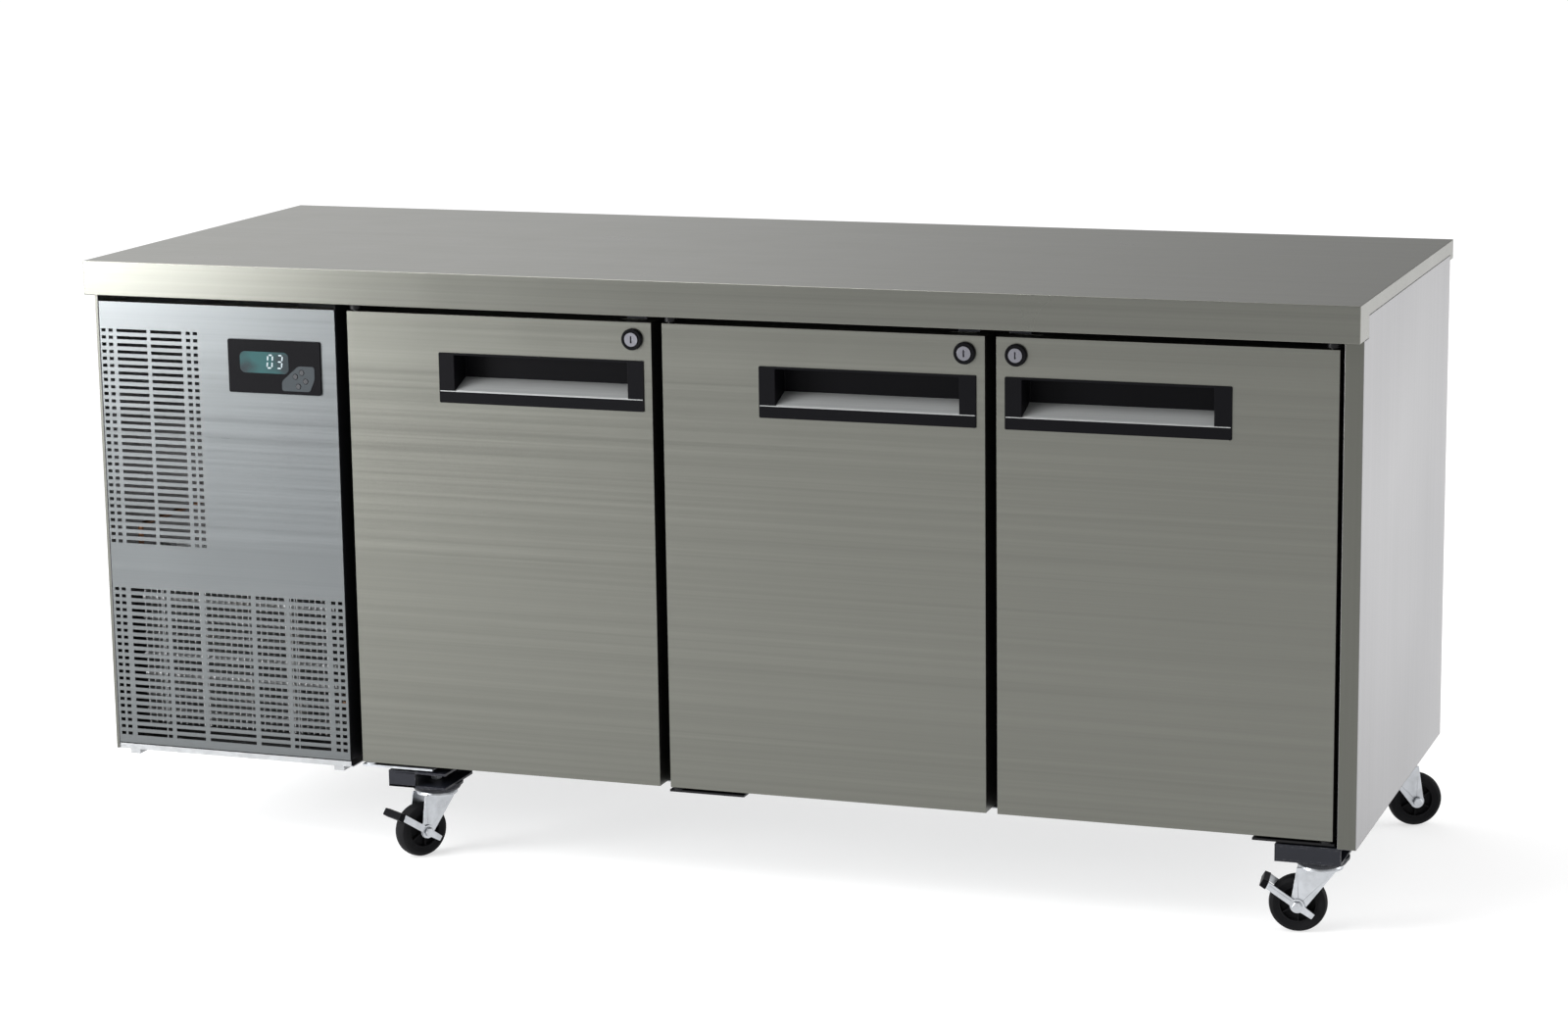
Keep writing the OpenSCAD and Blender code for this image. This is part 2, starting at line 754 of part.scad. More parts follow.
// Folded steel skin with hinge bushes, the lock hole and the handle opening.
module door_shell(i) {
    x0 = door_x(i);
    x1 = x0 + door_w;
    slot_side = hinge_right[i] ? 1 : -1;
    color("DarkSeaGreen") {
        difference() {
            union() {
                difference() {
                    block([x0, face_y, door_z], [x1, door_rear, door_top]);
                    block([x0 + sheet, face_y + sheet, door_z + sheet],
                          [x1 - sheet, door_rear + 1, door_top - sheet]);
                }
                for (z = [door_z + sheet - eps, door_top - sheet - 14 + eps])
                    translate([hinge_x(i), face_y + hinge_inset, z]) cylinder(h = 14, r = hinge_inset - sheet + 0.5);
            }
            hinge_bores(i, hinge_pin_r + run_fit);
            translate([lock_x(i), 0, lock_z]) rod_y(lock_r + lock_sleeve + 0.1, face_y - 1, face_y + sheet + 1);
            block([handle_x(i) + handle_cheek - handle_wall, face_y - 1, recess_z],
                  [handle_x(i) + handle_w - handle_cheek + handle_wall, face_y + sheet + eps,
                   recess_top + handle_wall]);
            // slot in the top edge for the lock cam
            translate([lock_x(i), 0, door_top])
                block([slot_side > 0 ? -9 : -30, face_y + lock_len - 1, -sheet - 1],
                      [slot_side > 0 ? 30 : 9, face_y + lock_len + 7, 1]);
        }
        recess_floor(i);
    }
}

// Foamed inner half of the door, dished on the cold side and grooved for the gasket.
module door_inner_panel(i) {
    x0 = door_x(i) + sheet;
    x1 = door_x(i) + door_w - sheet;
    dish = 44;
    recess_x = handle_x(i) + handle_cheek - handle_wall;
    cam_side = hinge_right[i] ? 1 : -1;
    reach = handle_depth + 0.5;
    color("WhiteSmoke") difference() {
        block([x0, face_y + sheet, door_z + sheet], [x1, door_rear, door_top - sheet]);
        translate([door_x(i), 0, door_z])
            plate_y(door_rear - 3, door_rear + 1) gasket_ring(0.2);
        translate([door_x(i) + dish, 0, door_z + dish])
            plate_y(door_rear - 5, door_rear + 1)
                soft_square([door_w - 2 * dish, door_h - 2 * dish], 18);
        // handle recess from the front, its lower side along the steel floor
        translate([recess_x + handle_w - 2 * (handle_cheek - handle_wall) + 0.5, 0, 0])
            rotate([90, 0, -90]) linear_extrude(handle_w - 2 * (handle_cheek - handle_wall) + 1)
                polygon([[-face_y, recess_z - sheet], [-face_y + 1, recess_z - sheet],
                         [-face_y + 1, recess_top + handle_wall + 0.5],
                         [-face_y - reach, recess_top + handle_wall + 0.5],
                         [-face_y - reach, recess_z - sheet + reach * floor_rise / floor_run]]);
        // lock body and the sweep of its cam, open at the top
        translate([lock_x(i), 0, lock_z])
            block([cam_side > 0 ? -12 : -cam_len - 4, face_y, -12],
                  [cam_side > 0 ? cam_len + 4 : 12, face_y + lock_len + 8, lock_drop]);
        for (z = [door_z, door_top - 18])
            translate([hinge_x(i), face_y + hinge_inset, z]) cylinder(h = 18, r = hinge_inset);
    }
}

// Outline of the gasket, from the door's lower left corner, widened by grow.
module gasket_ring(grow) {
    inset = gasket_w;
    difference() {
        translate([inset - grow, inset - grow])
            square([door_w - 2 * (inset - grow), door_h - 2 * (inset - grow)]);
        translate([inset + gasket_w + grow, inset + gasket_w + grow])
            square([door_w - 2 * (inset + gasket_w + grow), door_h - 2 * (inset + gasket_w + grow)]);
    }
}

module door_gasket(i) {
    color("#303030") translate([door_x(i), 0, door_z])
        plate_y(door_rear - 3, door_rear + gasket_t) gasket_ring(0);
}

// Black surround with the walls of the recess; its floor is the steel skin.
module door_handle(i) {
    x0 = handle_x(i);
    inner_x0 = x0 + handle_cheek;
    inner_x1 = x0 + handle_w - handle_cheek;
    proud = 2;
    run = handle_depth - handle_wall;
    under = handle_depth + 10;
    color("#181818") difference() {
        union() {
            translate([x0, 0, handle_z])
                plate_y(face_y - proud, face_y) soft_square([handle_w, handle_h], 2);
            block([inner_x0 - handle_wall, face_y - eps, recess_z],
                  [inner_x1 + handle_wall, face_y + handle_depth, recess_top + handle_wall]);
        }
        block([inner_x0, face_y - proud - 1, recess_z - eps], [inner_x1, face_y + run, recess_top]);
        // room under the walls for the sloped steel floor
        translate([inner_x1 + handle_wall + 1, 0, 0]) rotate([90, 0, -90])
            linear_extrude(inner_x1 - inner_x0 + 2 * handle_wall + 2)
                polygon([[-face_y, recess_z - 2], [-face_y, recess_z + 0.05],
                         [-face_y - under, recess_z + under * floor_rise / floor_run + 0.05],
                         [-face_y - under, recess_z - 2]]);
    }
}

module door_lock_housing(i) {
    color("#101010") translate([lock_x(i), 0, lock_z]) difference() {
        union() {
            rod_y(lock_r + lock_collar, face_y - 3, face_y);
            rod_y(lock_r + lock_sleeve, face_y - eps, face_y + lock_len);
        }
        rod_y(lock_r + run_fit, face_y - 4, face_y + lock_len + 1);
    }
}

// Barrel with a key slot, and the cam behind it, which points inwards when unlocked.
module door_lock_barrel(i) {
    cam_side = hinge_right[i] ? 1 : -1;
    cam_y = face_y + lock_len + clear;
    color("Gainsboro") translate([lock_x(i), 0, lock_z]) {
        difference() {
            rod_y(lock_r, face_y - 4, cam_y + cam_t);
            block([-1, face_y - 5, -4.5], [1, face_y - 1, 4.5]);
        }
        block([cam_side > 0 ? 0 : -cam_len + cam_w / 2, cam_y, -cam_w / 2],
              [cam_side > 0 ? cam_len - cam_w / 2 : 0, cam_y + cam_t, cam_w / 2]);
        translate([cam_side * (cam_len - cam_w / 2), 0, 0]) rod_y(cam_w / 2, cam_y, cam_y + cam_t);
    }
}

// ---- casters -------------------------------------------------------------

// Black channels with a bearing plate, bolted under the base.
module caster_mounts() {
    channel = [90, 96];
    front = 36; // of the channel, ahead of the swivel axis
    rear = front - channel[0];
    side = channel[1] / 2;
    wall = 3;
    color("#1c1c1c") for (c = casters) {
        translate([c[0], c[1], 0]) difference() {
            union() {
                difference() {
                    block([rear, -side, mount_z], [front, side, body_z]);
                    block([rear - 1, wall - side, mount_z + wall], [front + 1, side - wall, body_z - wall]);
                }
                translate([0, 0, mount_z - race_h]) cylinder(h = race_h + eps, r = race_r);
            }
            translate([0, 0, mount_z - race_h - 1])
                cylinder(h = race_h + wall + 2, r = stem_r + run_fit);
        }
    }
}

// Places a caster's own frame: swivel axis at the origin, the wheel trailing to -X.
module at_caster(i) {
    translate([casters[i][0], casters[i][1], 0]) rotate([0, 0, casters[i][2]]) children();
}

// One leg's outline in x and z, from the top plate to the axle.
module leg_outline() {
    z_top = fork_top - fork_plate + eps;
    polygon([[-30, z_top], [22, z_top], [-trail + 11, wheel_r - 4], [-trail - 11, wheel_r - 2]]);
    translate([-trail, wheel_r]) circle(11);
}

module caster_fork(i) {
    color("LightSteelBlue") at_caster(i) {
        translate([0, 0, fork_top - fork_plate]) cylinder(h = fork_plate, r = 30);
        translate([0, 0, fork_top - eps]) cylinder(h = race_h + 3 + 10, r = stem_r);
        translate([0, 0, fork_top + race_h + 3 + 1]) cylinder(h = 7, r = 10, $fn = 6);
        for (side = [-1, 1]) {
            y0 = side > 0 ? leg_y : -leg_y - leg_t;
            plate_y(y0, y0 + leg_t) leg_outline();
        }
        translate([-trail, 0, wheel_r]) {
            rod_y(axle_r, -arm_y - arm_t - 1, arm_y + arm_t + 1);
            for (side = [-1, 1]) {
                y0 = side > 0 ? arm_y + arm_t + 0.5 : -arm_y - arm_t - 4.5;
                rod_y(7, y0, y0 + 4);
            }
        }
    }
}

// Half section of the wheel about its axle, drawn as radius and width.
module wheel_profile() {
    web = 8;
    tread = 8;
    translate([axle_r + run_fit, -wheel_w / 2]) square([8, wheel_w]);
    translate([axle_r + 4, -web / 2]) square([wheel_r - tread - axle_r - 2, web]);
    translate([wheel_r - tread - 4, -wheel_w / 2 + 2]) square([8, wheel_w - 4]);
    intersection() {
        translate([wheel_r - wheel_w / 2, 0]) circle(wheel_w / 2);
        translate([wheel_r - tread, -wheel_w / 2]) square([tread, wheel_w]);
    }
}

module caster_wheel(i) {
    color("#141414") at_caster(i)
        translate([-trail, 0, wheel_r]) rotate([-90, 0, 0]) rotate_extrude() wheel_profile();
}

// Pedal with an arm on each side, turning on the axle.
module caster_brake(i) {
    arm_tail = 26;
    color("LightGray") at_caster(i) translate([-trail, 0, wheel_r]) rotate([0, brake_tilt, 0]) {
        for (side = [-1, 1]) {
            y0 = side > 0 ? arm_y : -arm_y - arm_t;
            plate_y(y0, y0 + arm_t) difference() {
                union() {
                    translate([-pedal_r, -6]) square([pedal_r + arm_tail, 12]);
                    circle(10);
                }
                circle(axle_r + run_fit);
            }
        }
        block([-pedal_r - 6, -arm_y - arm_t, -5], [-pedal_r + eps, arm_y + arm_t, 3]);
    }
}

// ---- cable inlet ---------------------------------------------------------

gland_x = unit_x + 120;
gland_z = body_z + 60;
gland_thread_r = 10;
gland_bore_r = 5;

module cable_gland() {
    color("#202020") translate([gland_x, 0, gland_z]) difference() {
        union() {
            rod_y(gland_thread_r - 0.2, body_rear - 14, body_rear + 6);
            rod_y(14, body_rear, body_rear + 6);
            rod_y(11, body_rear + 6 - eps, body_rear + 20);
            rod_y(14, body_rear - sheet - 5, body_rear - sheet);
        }
        rod_y(gland_bore_r, body_rear - 15, body_rear + 21);
    }
}

// ---- nodes ---------------------------------------------------------------

worktop_skin();
worktop_core();
side_panel_right();
side_panel_left();
back_panel();
base_pan();
bulkhead();
cabinet_foam();
cabinet_liner();
door_frame();
machine_front_panel();
controller_bezel();
controller_window();
compressor();
condenser();
fan_shroud();
fan_motors();
refrigerant_pipes();
evaporator_coil();
evaporator_housing();
wire_shelves();
shelf_posts();
hinge_brackets();
lock_keepers();
caster_mounts();
cable_gland();
condenser_fan();
evaporator_fan();
button(0);  // button_1
button(1);  // button_2
button(2);  // button_3
button(3);  // button_4
door_shell(0);  // door_1_shell
door_inner_panel(0);  // door_1_inner_panel
door_gasket(0);  // door_1_gasket
door_handle(0);  // door_1_handle
door_lock_housing(0);  // door_1_lock_housing
door_lock_barrel(0);  // door_1_lock_barrel
door_shell(1);  // door_2_shell
door_inner_panel(1);  // door_2_inner_panel
door_gasket(1);  // door_2_gasket
door_handle(1);  // door_2_handle
door_lock_housing(1);  // door_2_lock_housing
door_lock_barrel(1);  // door_2_lock_barrel
door_shell(2);  // door_3_shell
door_inner_panel(2);  // door_3_inner_panel
door_gasket(2);  // door_3_gasket
door_handle(2);  // door_3_handle
door_lock_housing(2);  // door_3_lock_housing
door_lock_barrel(2);  // door_3_lock_barrel
caster_fork(0);  // caster_1_fork
caster_wheel(0);  // caster_1_wheel
caster_brake(0);  // caster_1_brake
caster_fork(1);  // caster_2_fork
caster_wheel(1);  // caster_2_wheel
caster_brake(1);  // caster_2_brake
caster_fork(2);  // caster_3_fork
caster_wheel(2);  // caster_3_wheel
caster_fork(3);  // caster_4_fork
caster_wheel(3);  // caster_4_wheel
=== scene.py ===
import json
import math

import bmesh
import bpy
from mathutils import Matrix, Vector


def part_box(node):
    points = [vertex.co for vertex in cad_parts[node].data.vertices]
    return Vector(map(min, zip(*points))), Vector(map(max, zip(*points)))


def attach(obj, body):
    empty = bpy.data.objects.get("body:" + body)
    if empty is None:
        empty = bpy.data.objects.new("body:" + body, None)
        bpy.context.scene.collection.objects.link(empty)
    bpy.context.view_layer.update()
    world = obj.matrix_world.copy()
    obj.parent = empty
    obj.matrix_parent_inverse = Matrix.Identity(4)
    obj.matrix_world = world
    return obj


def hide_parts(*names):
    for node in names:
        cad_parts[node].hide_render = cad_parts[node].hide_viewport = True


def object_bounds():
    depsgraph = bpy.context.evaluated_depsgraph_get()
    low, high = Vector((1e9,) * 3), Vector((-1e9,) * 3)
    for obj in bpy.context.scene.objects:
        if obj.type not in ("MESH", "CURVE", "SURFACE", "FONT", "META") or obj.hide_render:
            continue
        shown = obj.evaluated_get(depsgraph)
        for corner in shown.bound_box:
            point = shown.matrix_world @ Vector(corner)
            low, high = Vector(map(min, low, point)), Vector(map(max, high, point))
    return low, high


# Looks of a three-door under counter fridge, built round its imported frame.
# Metres, in the frame's own axes: X along the counter, Y to the back, Z up.

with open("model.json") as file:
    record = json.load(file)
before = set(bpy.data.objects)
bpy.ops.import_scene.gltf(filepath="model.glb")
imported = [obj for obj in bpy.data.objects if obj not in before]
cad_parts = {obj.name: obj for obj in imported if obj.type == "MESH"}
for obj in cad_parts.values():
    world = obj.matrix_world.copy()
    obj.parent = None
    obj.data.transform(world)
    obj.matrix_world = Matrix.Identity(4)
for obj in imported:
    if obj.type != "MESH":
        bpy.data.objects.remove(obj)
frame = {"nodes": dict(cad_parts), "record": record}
NODES = frame["nodes"]
JOINTS = {joint["name"]: joint for joint in frame["record"]["behaviour"]["joints"]}
CAD_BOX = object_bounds()

MM = 0.001
FRONT = Vector((0, -1, 0))
BACK = Vector((0, 1, 0))
RIGHT = Vector((1, 0, 0))
UP = Vector((0, 0, 1))
DOORS = (1, 2, 3)
KEYS = (1, 2, 3, 4)
CASTERS = (1, 2, 3, 4)
BRAKED = (1, 2)


# ---- shading nodes ---------------------------------------------------------


class Finish:
    """One material, with short calls for the nodes that shade it."""

    def __init__(self, name):
        self.material = bpy.data.materials.new(name)
        self.material.use_nodes = True
        self.tree = self.material.node_tree
        self.shader = self.tree.nodes["Principled BSDF"]
        self.place = self.add("ShaderNodeTexCoord").outputs["Object"]

    def add(self, kind, **settings):
        node = self.tree.nodes.new(kind)
        for key, value in settings.items():
            setattr(node, key, value)
        return node

    def feed(self, socket, value):
        """Links a socket to another node's output, or sets it to a number or colour."""
        if isinstance(value, bpy.types.NodeSocket):
            self.tree.links.new(value, socket)
        elif isinstance(value, tuple) and len(value) == 3 and socket.type == "RGBA":
            socket.default_value = (*value, 1)
        else:
            socket.default_value = value

    def set(self, **inputs):
        """Feeds the shader's sockets, named with underscores for spaces."""
        for key, value in inputs.items():
            self.feed(self.shader.inputs[key.replace("_", " ")], value)

    def stretched(self, stretch):
        mapping = self.add("ShaderNodeMapping")
        self.feed(mapping.inputs["Vector"], self.place)
        mapping.inputs["Scale"].default_value = stretch
        return mapping.outputs["Vector"]

    def noise(self, scale, stretch=(1, 1, 1), detail=3, roughness=0.5):
        node = self.add("ShaderNodeTexNoise")
        self.feed(node.inputs["Vector"], self.stretched(stretch))
        node.inputs["Scale"].default_value = scale
        node.inputs["Detail"].default_value = detail
        node.inputs["Roughness"].default_value = roughness
        return node.outputs["Fac"]

    def cells(self, scale, output="Distance", feature="F1", stretch=(1, 1, 1)):
        node = self.add("ShaderNodeTexVoronoi", feature=feature)
        self.feed(node.inputs["Vector"], self.stretched(stretch))
        node.inputs["Scale"].default_value = scale
        return node.outputs[output]

    def remap(self, value, low, high, start=0.0, end=1.0):
        """Turns start..end into low..high, held at both ends."""
        node = self.add("ShaderNodeMapRange", clamp=True)
        self.feed(node.inputs["Value"], value)
        node.inputs["From Min"].default_value = start
        node.inputs["From Max"].default_value = end
        node.inputs["To Min"].default_value = low
        node.inputs["To Max"].default_value = high
        return node.outputs["Result"]

    def math(self, operation, first, second):
        node = self.add("ShaderNodeMath", operation=operation)
        self.feed(node.inputs[0], first)
        self.feed(node.inputs[1], second)
        return node.outputs[0]

    def mix(self, factor, first, second):
        node = self.add("ShaderNodeMix", data_type="RGBA")
        self.feed(node.inputs["Factor"], factor)
        self.feed(node.inputs[6], first)
        self.feed(node.inputs[7], second)
        return node.outputs[2]

    def facing(self, axis):
        """1 on faces square to an axis, 0 on faces along it."""
        turned = self.add("ShaderNodeSeparateXYZ")
        self.feed(turned.inputs["Vector"], self.add("ShaderNodeNewGeometry").outputs["Normal"])
        return self.remap(self.math("ABSOLUTE", turned.outputs[axis], 0.0), 0, 1, 0.75, 0.98)

    def bump(self, height, depth, below=None):
        """Raises the surface by depth where height is 1, over an earlier bump if given."""
        node = self.add("ShaderNodeBump")
        self.feed(node.inputs["Height"], height)
        node.inputs["Strength"].default_value = 1
        node.inputs["Distance"].default_value = depth
        if below is not None:
            self.feed(node.inputs["Normal"], below)
        return node.outputs["Normal"]

    def edges(self, width):
        """1 along edges that stand out or turn in, 0 on open faces."""
        rounded = self.add("ShaderNodeBevel", samples=4)
        rounded.inputs["Radius"].default_value = width
        flat = self.add("ShaderNodeNewGeometry").outputs["Normal"]
        along = self.add("ShaderNodeVectorMath", operation="DOT_PRODUCT")
        self.feed(along.inputs[0], rounded.outputs["Normal"])
        self.feed(along.inputs[1], flat)
        return self.remap(along.outputs["Value"], 1, 0, 0.80, 0.985)


def scaled(colour, factor):
    return tuple(channel * factor for channel in colour)


# ---- materials -------------------------------------------------------------

GRAIN = {"X": (1, 260, 260), "Y": (260, 1, 260), "Z": (260, 260, 1)}


def brushed_steel(name, tint, grain="X", roughness=0.30, streaks=0.10):
    """Sheet steel with rolled-in brush lines, slow cloudiness and faint wiping marks."""
    f = Finish(name)
    fine = f.noise(3.1, GRAIN[grain], detail=2)
    streak = f.noise(0.62, GRAIN[grain], detail=5, roughness=0.65)
    cloud = f.noise(2.3, detail=2)
    wiped = f.noise(9, (1, 1, 0.4), detail=4)
    tone = f.mix(f.remap(streak, 0, 1, 0.30, 0.70), scaled(tint, 1 - streaks), scaled(tint, 1 + streaks))
    hazed = f.mix(f.remap(cloud, 0, 0.18, 0.35, 0.75), tone, scaled(tint, 0.92))
    smears = f.remap(wiped, roughness - 0.03, roughness + 0.05)
    rough = f.math("ADD", f.remap(streak, -0.05, 0.05, 0.3, 0.7), smears)
    lines = f.bump(fine, 0.012 * MM)
    f.set(Base_Color=hazed, Metallic=1.0, Roughness=rough, Normal=f.bump(streak, 0.03 * MM, lines))
    return f.material


def worktop_steel(name, tint, nose_shade_tint):
    """Brushed worktop sheet; its folded nose is darker than the top, as painted shade on one steel."""
    f = Finish(name)
    fine = f.noise(3.1, GRAIN["X"], detail=2)
    streak = f.noise(0.62, GRAIN["X"], detail=5, roughness=0.65)
    wiped = f.noise(9, (1, 1, 0.4), detail=4)
    # Faces square to Y take the darker tint: painted shade on the nose.
    base = f.mix(f.facing("Y"), tint, nose_shade_tint)
    tone = f.mix(f.remap(streak, 0.14, 0, 0.30, 0.70), base, (0, 0, 0))
    f.set(Base_Color=tone, Metallic=1.0, Roughness=f.remap(wiped, 0.25, 0.33))
    f.set(Normal=f.bump(streak, 0.02 * MM, f.bump(fine, 0.012 * MM)))
    return f.material


def side_steel_painted_light(name, tint, front_shade_tint):
    """Side sheet, brightened on its sides as painted light, with its narrow front face darkened to the
    doors' tone as painted shade.
    """
    f = Finish(name)
    streak = f.noise(0.62, GRAIN["Z"], detail=5, roughness=0.65)
    cloud = f.noise(2.3, detail=2)
    # Faces square to Y take the darker front tint, which is painted shade.
    base = f.mix(f.facing("Y"), tint, front_shade_tint)
    tone = f.mix(f.remap(streak, 0.08, 0, 0.30, 0.70), base, (0, 0, 0))
    f.set(Base_Color=tone, Metallic=1.0, Roughness=f.remap(cloud, 0.32, 0.40, 0.3, 0.7))
    f.set(Normal=f.bump(streak, 0.03 * MM, f.bump(f.noise(3.1, GRAIN["Z"], detail=2), 0.012 * MM)))
    return f.material


def galvanised_steel(name, tint):
    """Zinc coated sheet with the spangle of its crystals."""
    f = Finish(name)
    spangle = f.cells(130, "Color")
    shade = f.add("ShaderNodeSeparateColor")
    f.feed(shade.inputs["Color"], spangle)
    crystal = shade.outputs["Red"]
    colour = f.mix(crystal, scaled(tint, 0.92), scaled(tint, 1.05))
    f.set(Base_Color=colour, Metallic=1.0, Roughness=f.remap(crystal, 0.38, 0.50))
    f.set(Normal=f.bump(f.noise(900, detail=2), 0.02 * MM))
    return f.material


def zinc_plate(name, tint):
    """Pressed parts in bright zinc, mottled and a little scuffed on their edges."""
    f = Finish(name)
    mottle = f.noise(60, detail=4)
    worn = f.edges(0.8 * MM)
    colour = f.mix(f.remap(mottle, 0, 1, 0.35, 0.65), scaled(tint, 0.82), scaled(tint, 1.06))
    f.set(Base_Color=f.mix(worn, colour, scaled(tint, 1.25)), Metallic=1.0)
    f.set(Roughness=f.remap(mottle, 0.26, 0.44, 0.3, 0.7))
    f.set(Normal=f.bump(f.noise(700, detail=2), 0.02 * MM))
    return f.material


def satin_sheet(name, tint):
    """Blasted sheet that scatters light evenly, with faint rolling lines."""
    f = Finish(name)
    rolled = f.noise(0.8, GRAIN["X"], detail=4)
    f.set(Base_Color=f.mix(f.remap(rolled, 0, 1, 0.3, 0.7), scaled(tint, 0.88), tint), Metallic=0.35)
    f.set(Roughness=f.remap(rolled, 0.45, 0.6), Normal=f.bump(rolled, 0.03 * MM))
    return f.material


def hinge_painted_shade(name, tint, painted, reach):
    """Zinc below and left of reach (x, z); black on the rest, as painted shade for the shadow those plates
    sit in.
    """
    f = Finish(name)
    mottle = f.noise(60, detail=4)
    spot = f.add("ShaderNodeSeparateXYZ")
    f.feed(spot.inputs["Vector"], f.place)
    left = f.math("LESS_THAN", spot.outputs["X"], reach[0])
    bare = f.math("MULTIPLY", left, f.math("LESS_THAN", spot.outputs["Z"], reach[1]))
    plated = f.mix(f.remap(mottle, 0, 1, 0.35, 0.65), scaled(tint, 0.82), scaled(tint, 1.06))
    # The black where the zinc stops is painted shade.
    f.set(Base_Color=f.mix(bare, painted, plated), Metallic=bare)
    f.set(Roughness=f.remap(mottle, 0.30, 0.46, 0.3, 0.7))
    f.set(Specular_IOR_Level=0.2, Normal=f.bump(f.noise(700, detail=2), 0.02 * MM))
    return f.material


def polished_metal(name, tint, roughness=0.16):
    """Plated wire and turned parts, with fine drawing lines."""
    f = Finish(name)
    fine = f.noise(420, detail=3)
    film = f.noise(35, detail=2)
    colour = f.mix(f.remap(film, 0, 1, 0.35, 0.7), scaled(tint, 0.9), scaled(tint, 1.05))
    f.set(Base_Color=colour, Metallic=1.0, Roughness=f.remap(film, roughness - 0.04, roughness + 0.08))
    f.set(Normal=f.bump(fine, 0.01 * MM))
    return f.material


def moulded_plastic(name, tint, roughness=0.42, grain=0.04, worn=1.6, gloss=0.5):
    """Moulded plastic with an eroded surface, rubbed paler along its edges."""
    f = Finish(name)
    texture = f.noise(1500, detail=3, roughness=0.6)
    handled = f.noise(14, detail=4)
    rubbed = f.edges(0.7 * MM)
    colour = f.mix(f.remap(handled, 0, 0.35, 0.4, 0.75), tint, scaled(tint, 0.8))
    f.set(Base_Color=f.mix(f.remap(rubbed, 0, 0.6), colour, scaled(tint, worn)))
    matt = f.remap(texture, roughness - 0.03, roughness + 0.03)
    f.set(Roughness=f.math("ADD", f.remap(handled, -0.06, 0.08), matt))
    f.set(Normal=f.bump(texture, grain * MM), Specular_IOR_Level=gloss)
    return f.material


def sheet_rubber(name, tint, dust=(0.09, 0.085, 0.08)):
    """Black rubber with a dusty bloom in patches."""
    f = Finish(name)
    pores = f.noise(1100, detail=3)
    bloom = f.noise(30, detail=5, roughness=0.6)
    colour = f.mix(f.remap(bloom, 0, 0.35, 0.45, 0.75), tint, dust)
    f.set(Base_Color=colour, Roughness=f.remap(bloom, 0.58, 0.78), Specular_IOR_Level=0.12)
    f.set(Normal=f.bump(pores, 0.05 * MM))
    return f.material


def enamel(name, tint, chipped=(0.22, 0.22, 0.23), gloss=0.25):
    """Stoved enamel with orange peel and bare metal showing where its edges are chipped."""
    f = Finish(name)
    peel = f.noise(260, detail=1)
    chips = f.math("MULTIPLY", f.edges(0.9 * MM), f.remap(f.noise(170, detail=4), 0, 1, 0.50, 0.60))
    dusty = f.noise(11, detail=4)
    colour = f.mix(f.remap(dusty, 0, 0.30, 0.4, 0.7), tint, scaled(tint, 2))
    f.set(Base_Color=f.mix(chips, colour, chipped), Roughness=f.remap(dusty, 0.30, 0.46))
    f.set(Specular_IOR_Level=gloss, Metallic=f.remap(chips, 0, 0.9), Normal=f.bump(peel, 0.05 * MM))
    return f.material


def finned_aluminium(name, tint):
    """Thin fins, a little oxidised, with dust in patches."""
    f = Finish(name)
    rolled = f.noise(2, (1, 200, 1), detail=3)
    dust = f.noise(24, detail=5)
    colour = f.mix(f.remap(dust, 0, 0.6, 0.5, 0.75), tint, (0.42, 0.40, 0.36))
    f.set(Base_Color=colour, Metallic=f.remap(dust, 1.0, 0.55, 0.5, 0.75))
    f.set(Roughness=f.remap(dust, 0.34, 0.62), Normal=f.bump(rolled, 0.02 * MM))
    return f.material


def drawn_copper(name, tint):
    """Copper tube, brown and dull in patches."""
    f = Finish(name)
    patch = f.noise(28, detail=5, roughness=0.6)
    colour = f.mix(f.remap(patch, 0, 1, 0.42, 0.66), tint, (0.26, 0.13, 0.08))
    f.set(Base_Color=colour, Metallic=1.0, Roughness=f.remap(patch, 0.22, 0.5))
    f.set(Normal=f.bump(f.noise(500, detail=2), 0.02 * MM))
    return f.material


def plywood(name, tint):
    """Core board with long fibres."""
    f = Finish(name)
    fibre = f.noise(1.2, (8, 60, 160), detail=6, roughness=0.6)
    colour = f.mix(f.remap(fibre, 0, 1, 0.3, 0.7), scaled(tint, 0.62), tint)
    f.set(Base_Color=colour, Roughness=f.remap(fibre, 0.75, 0.6), Normal=f.bump(fibre, 0.2 * MM))
    return f.material


def rigid_foam(name, tint):
    """Sprayed polyurethane foam with open bubbles."""
    f = Finish(name)
    bubble = f.cells(420)
    shade = f.noise(12, detail=4)
    colour = f.mix(f.remap(shade, 0, 1, 0.35, 0.65), scaled(tint, 0.82), tint)
    # The hollows of the bubbles are darkened as painted shade.
    bubble_shade = f.remap(bubble, 0.35, 0, 0, 0.4)
    f.set(Base_Color=f.mix(bubble_shade, colour, scaled(tint, 0.6)), Roughness=0.85)
    f.set(Normal=f.bump(bubble, 0.5 * MM))
    return f.material


def tinted_lens(name, tint, depth=(0.004, 0.012, 0.016)):
    """Dark display lens, teal to almost black in patches, with a faint glow from emission that is painted
    light.
    """
    f = Finish(name)
    glow = f.noise(22, (1, 1, 1.4), detail=1)
    colour = f.mix(f.remap(glow, 0, 1, 0.36, 0.62), depth, tint)
    f.set(Base_Color=colour, Roughness=f.remap(f.noise(300, detail=2), 0.06, 0.13))
    # The emission makes the lens glow faintly: painted light, as the lens is no lamp.
    f.set(Coat_Weight=0.3, Emission_Color=colour, Emission_Strength=0.2)
    f.set(Normal=f.bump(f.noise(60, detail=1), 0.01 * MM))
    return f.material


def lit_segment(name, tint):
    """Digit segments that glow, with a fine noise in their brightness."""
    f = Finish(name)
    flicker = f.noise(700, detail=1)
    colour = f.mix(f.remap(flicker, 0, 1, 0.3, 0.7), scaled(tint, 0.75), tint)
    f.set(Base_Color=colour, Roughness=0.4, Emission_Color=colour, Emission_Strength=0.85)
    return f.material


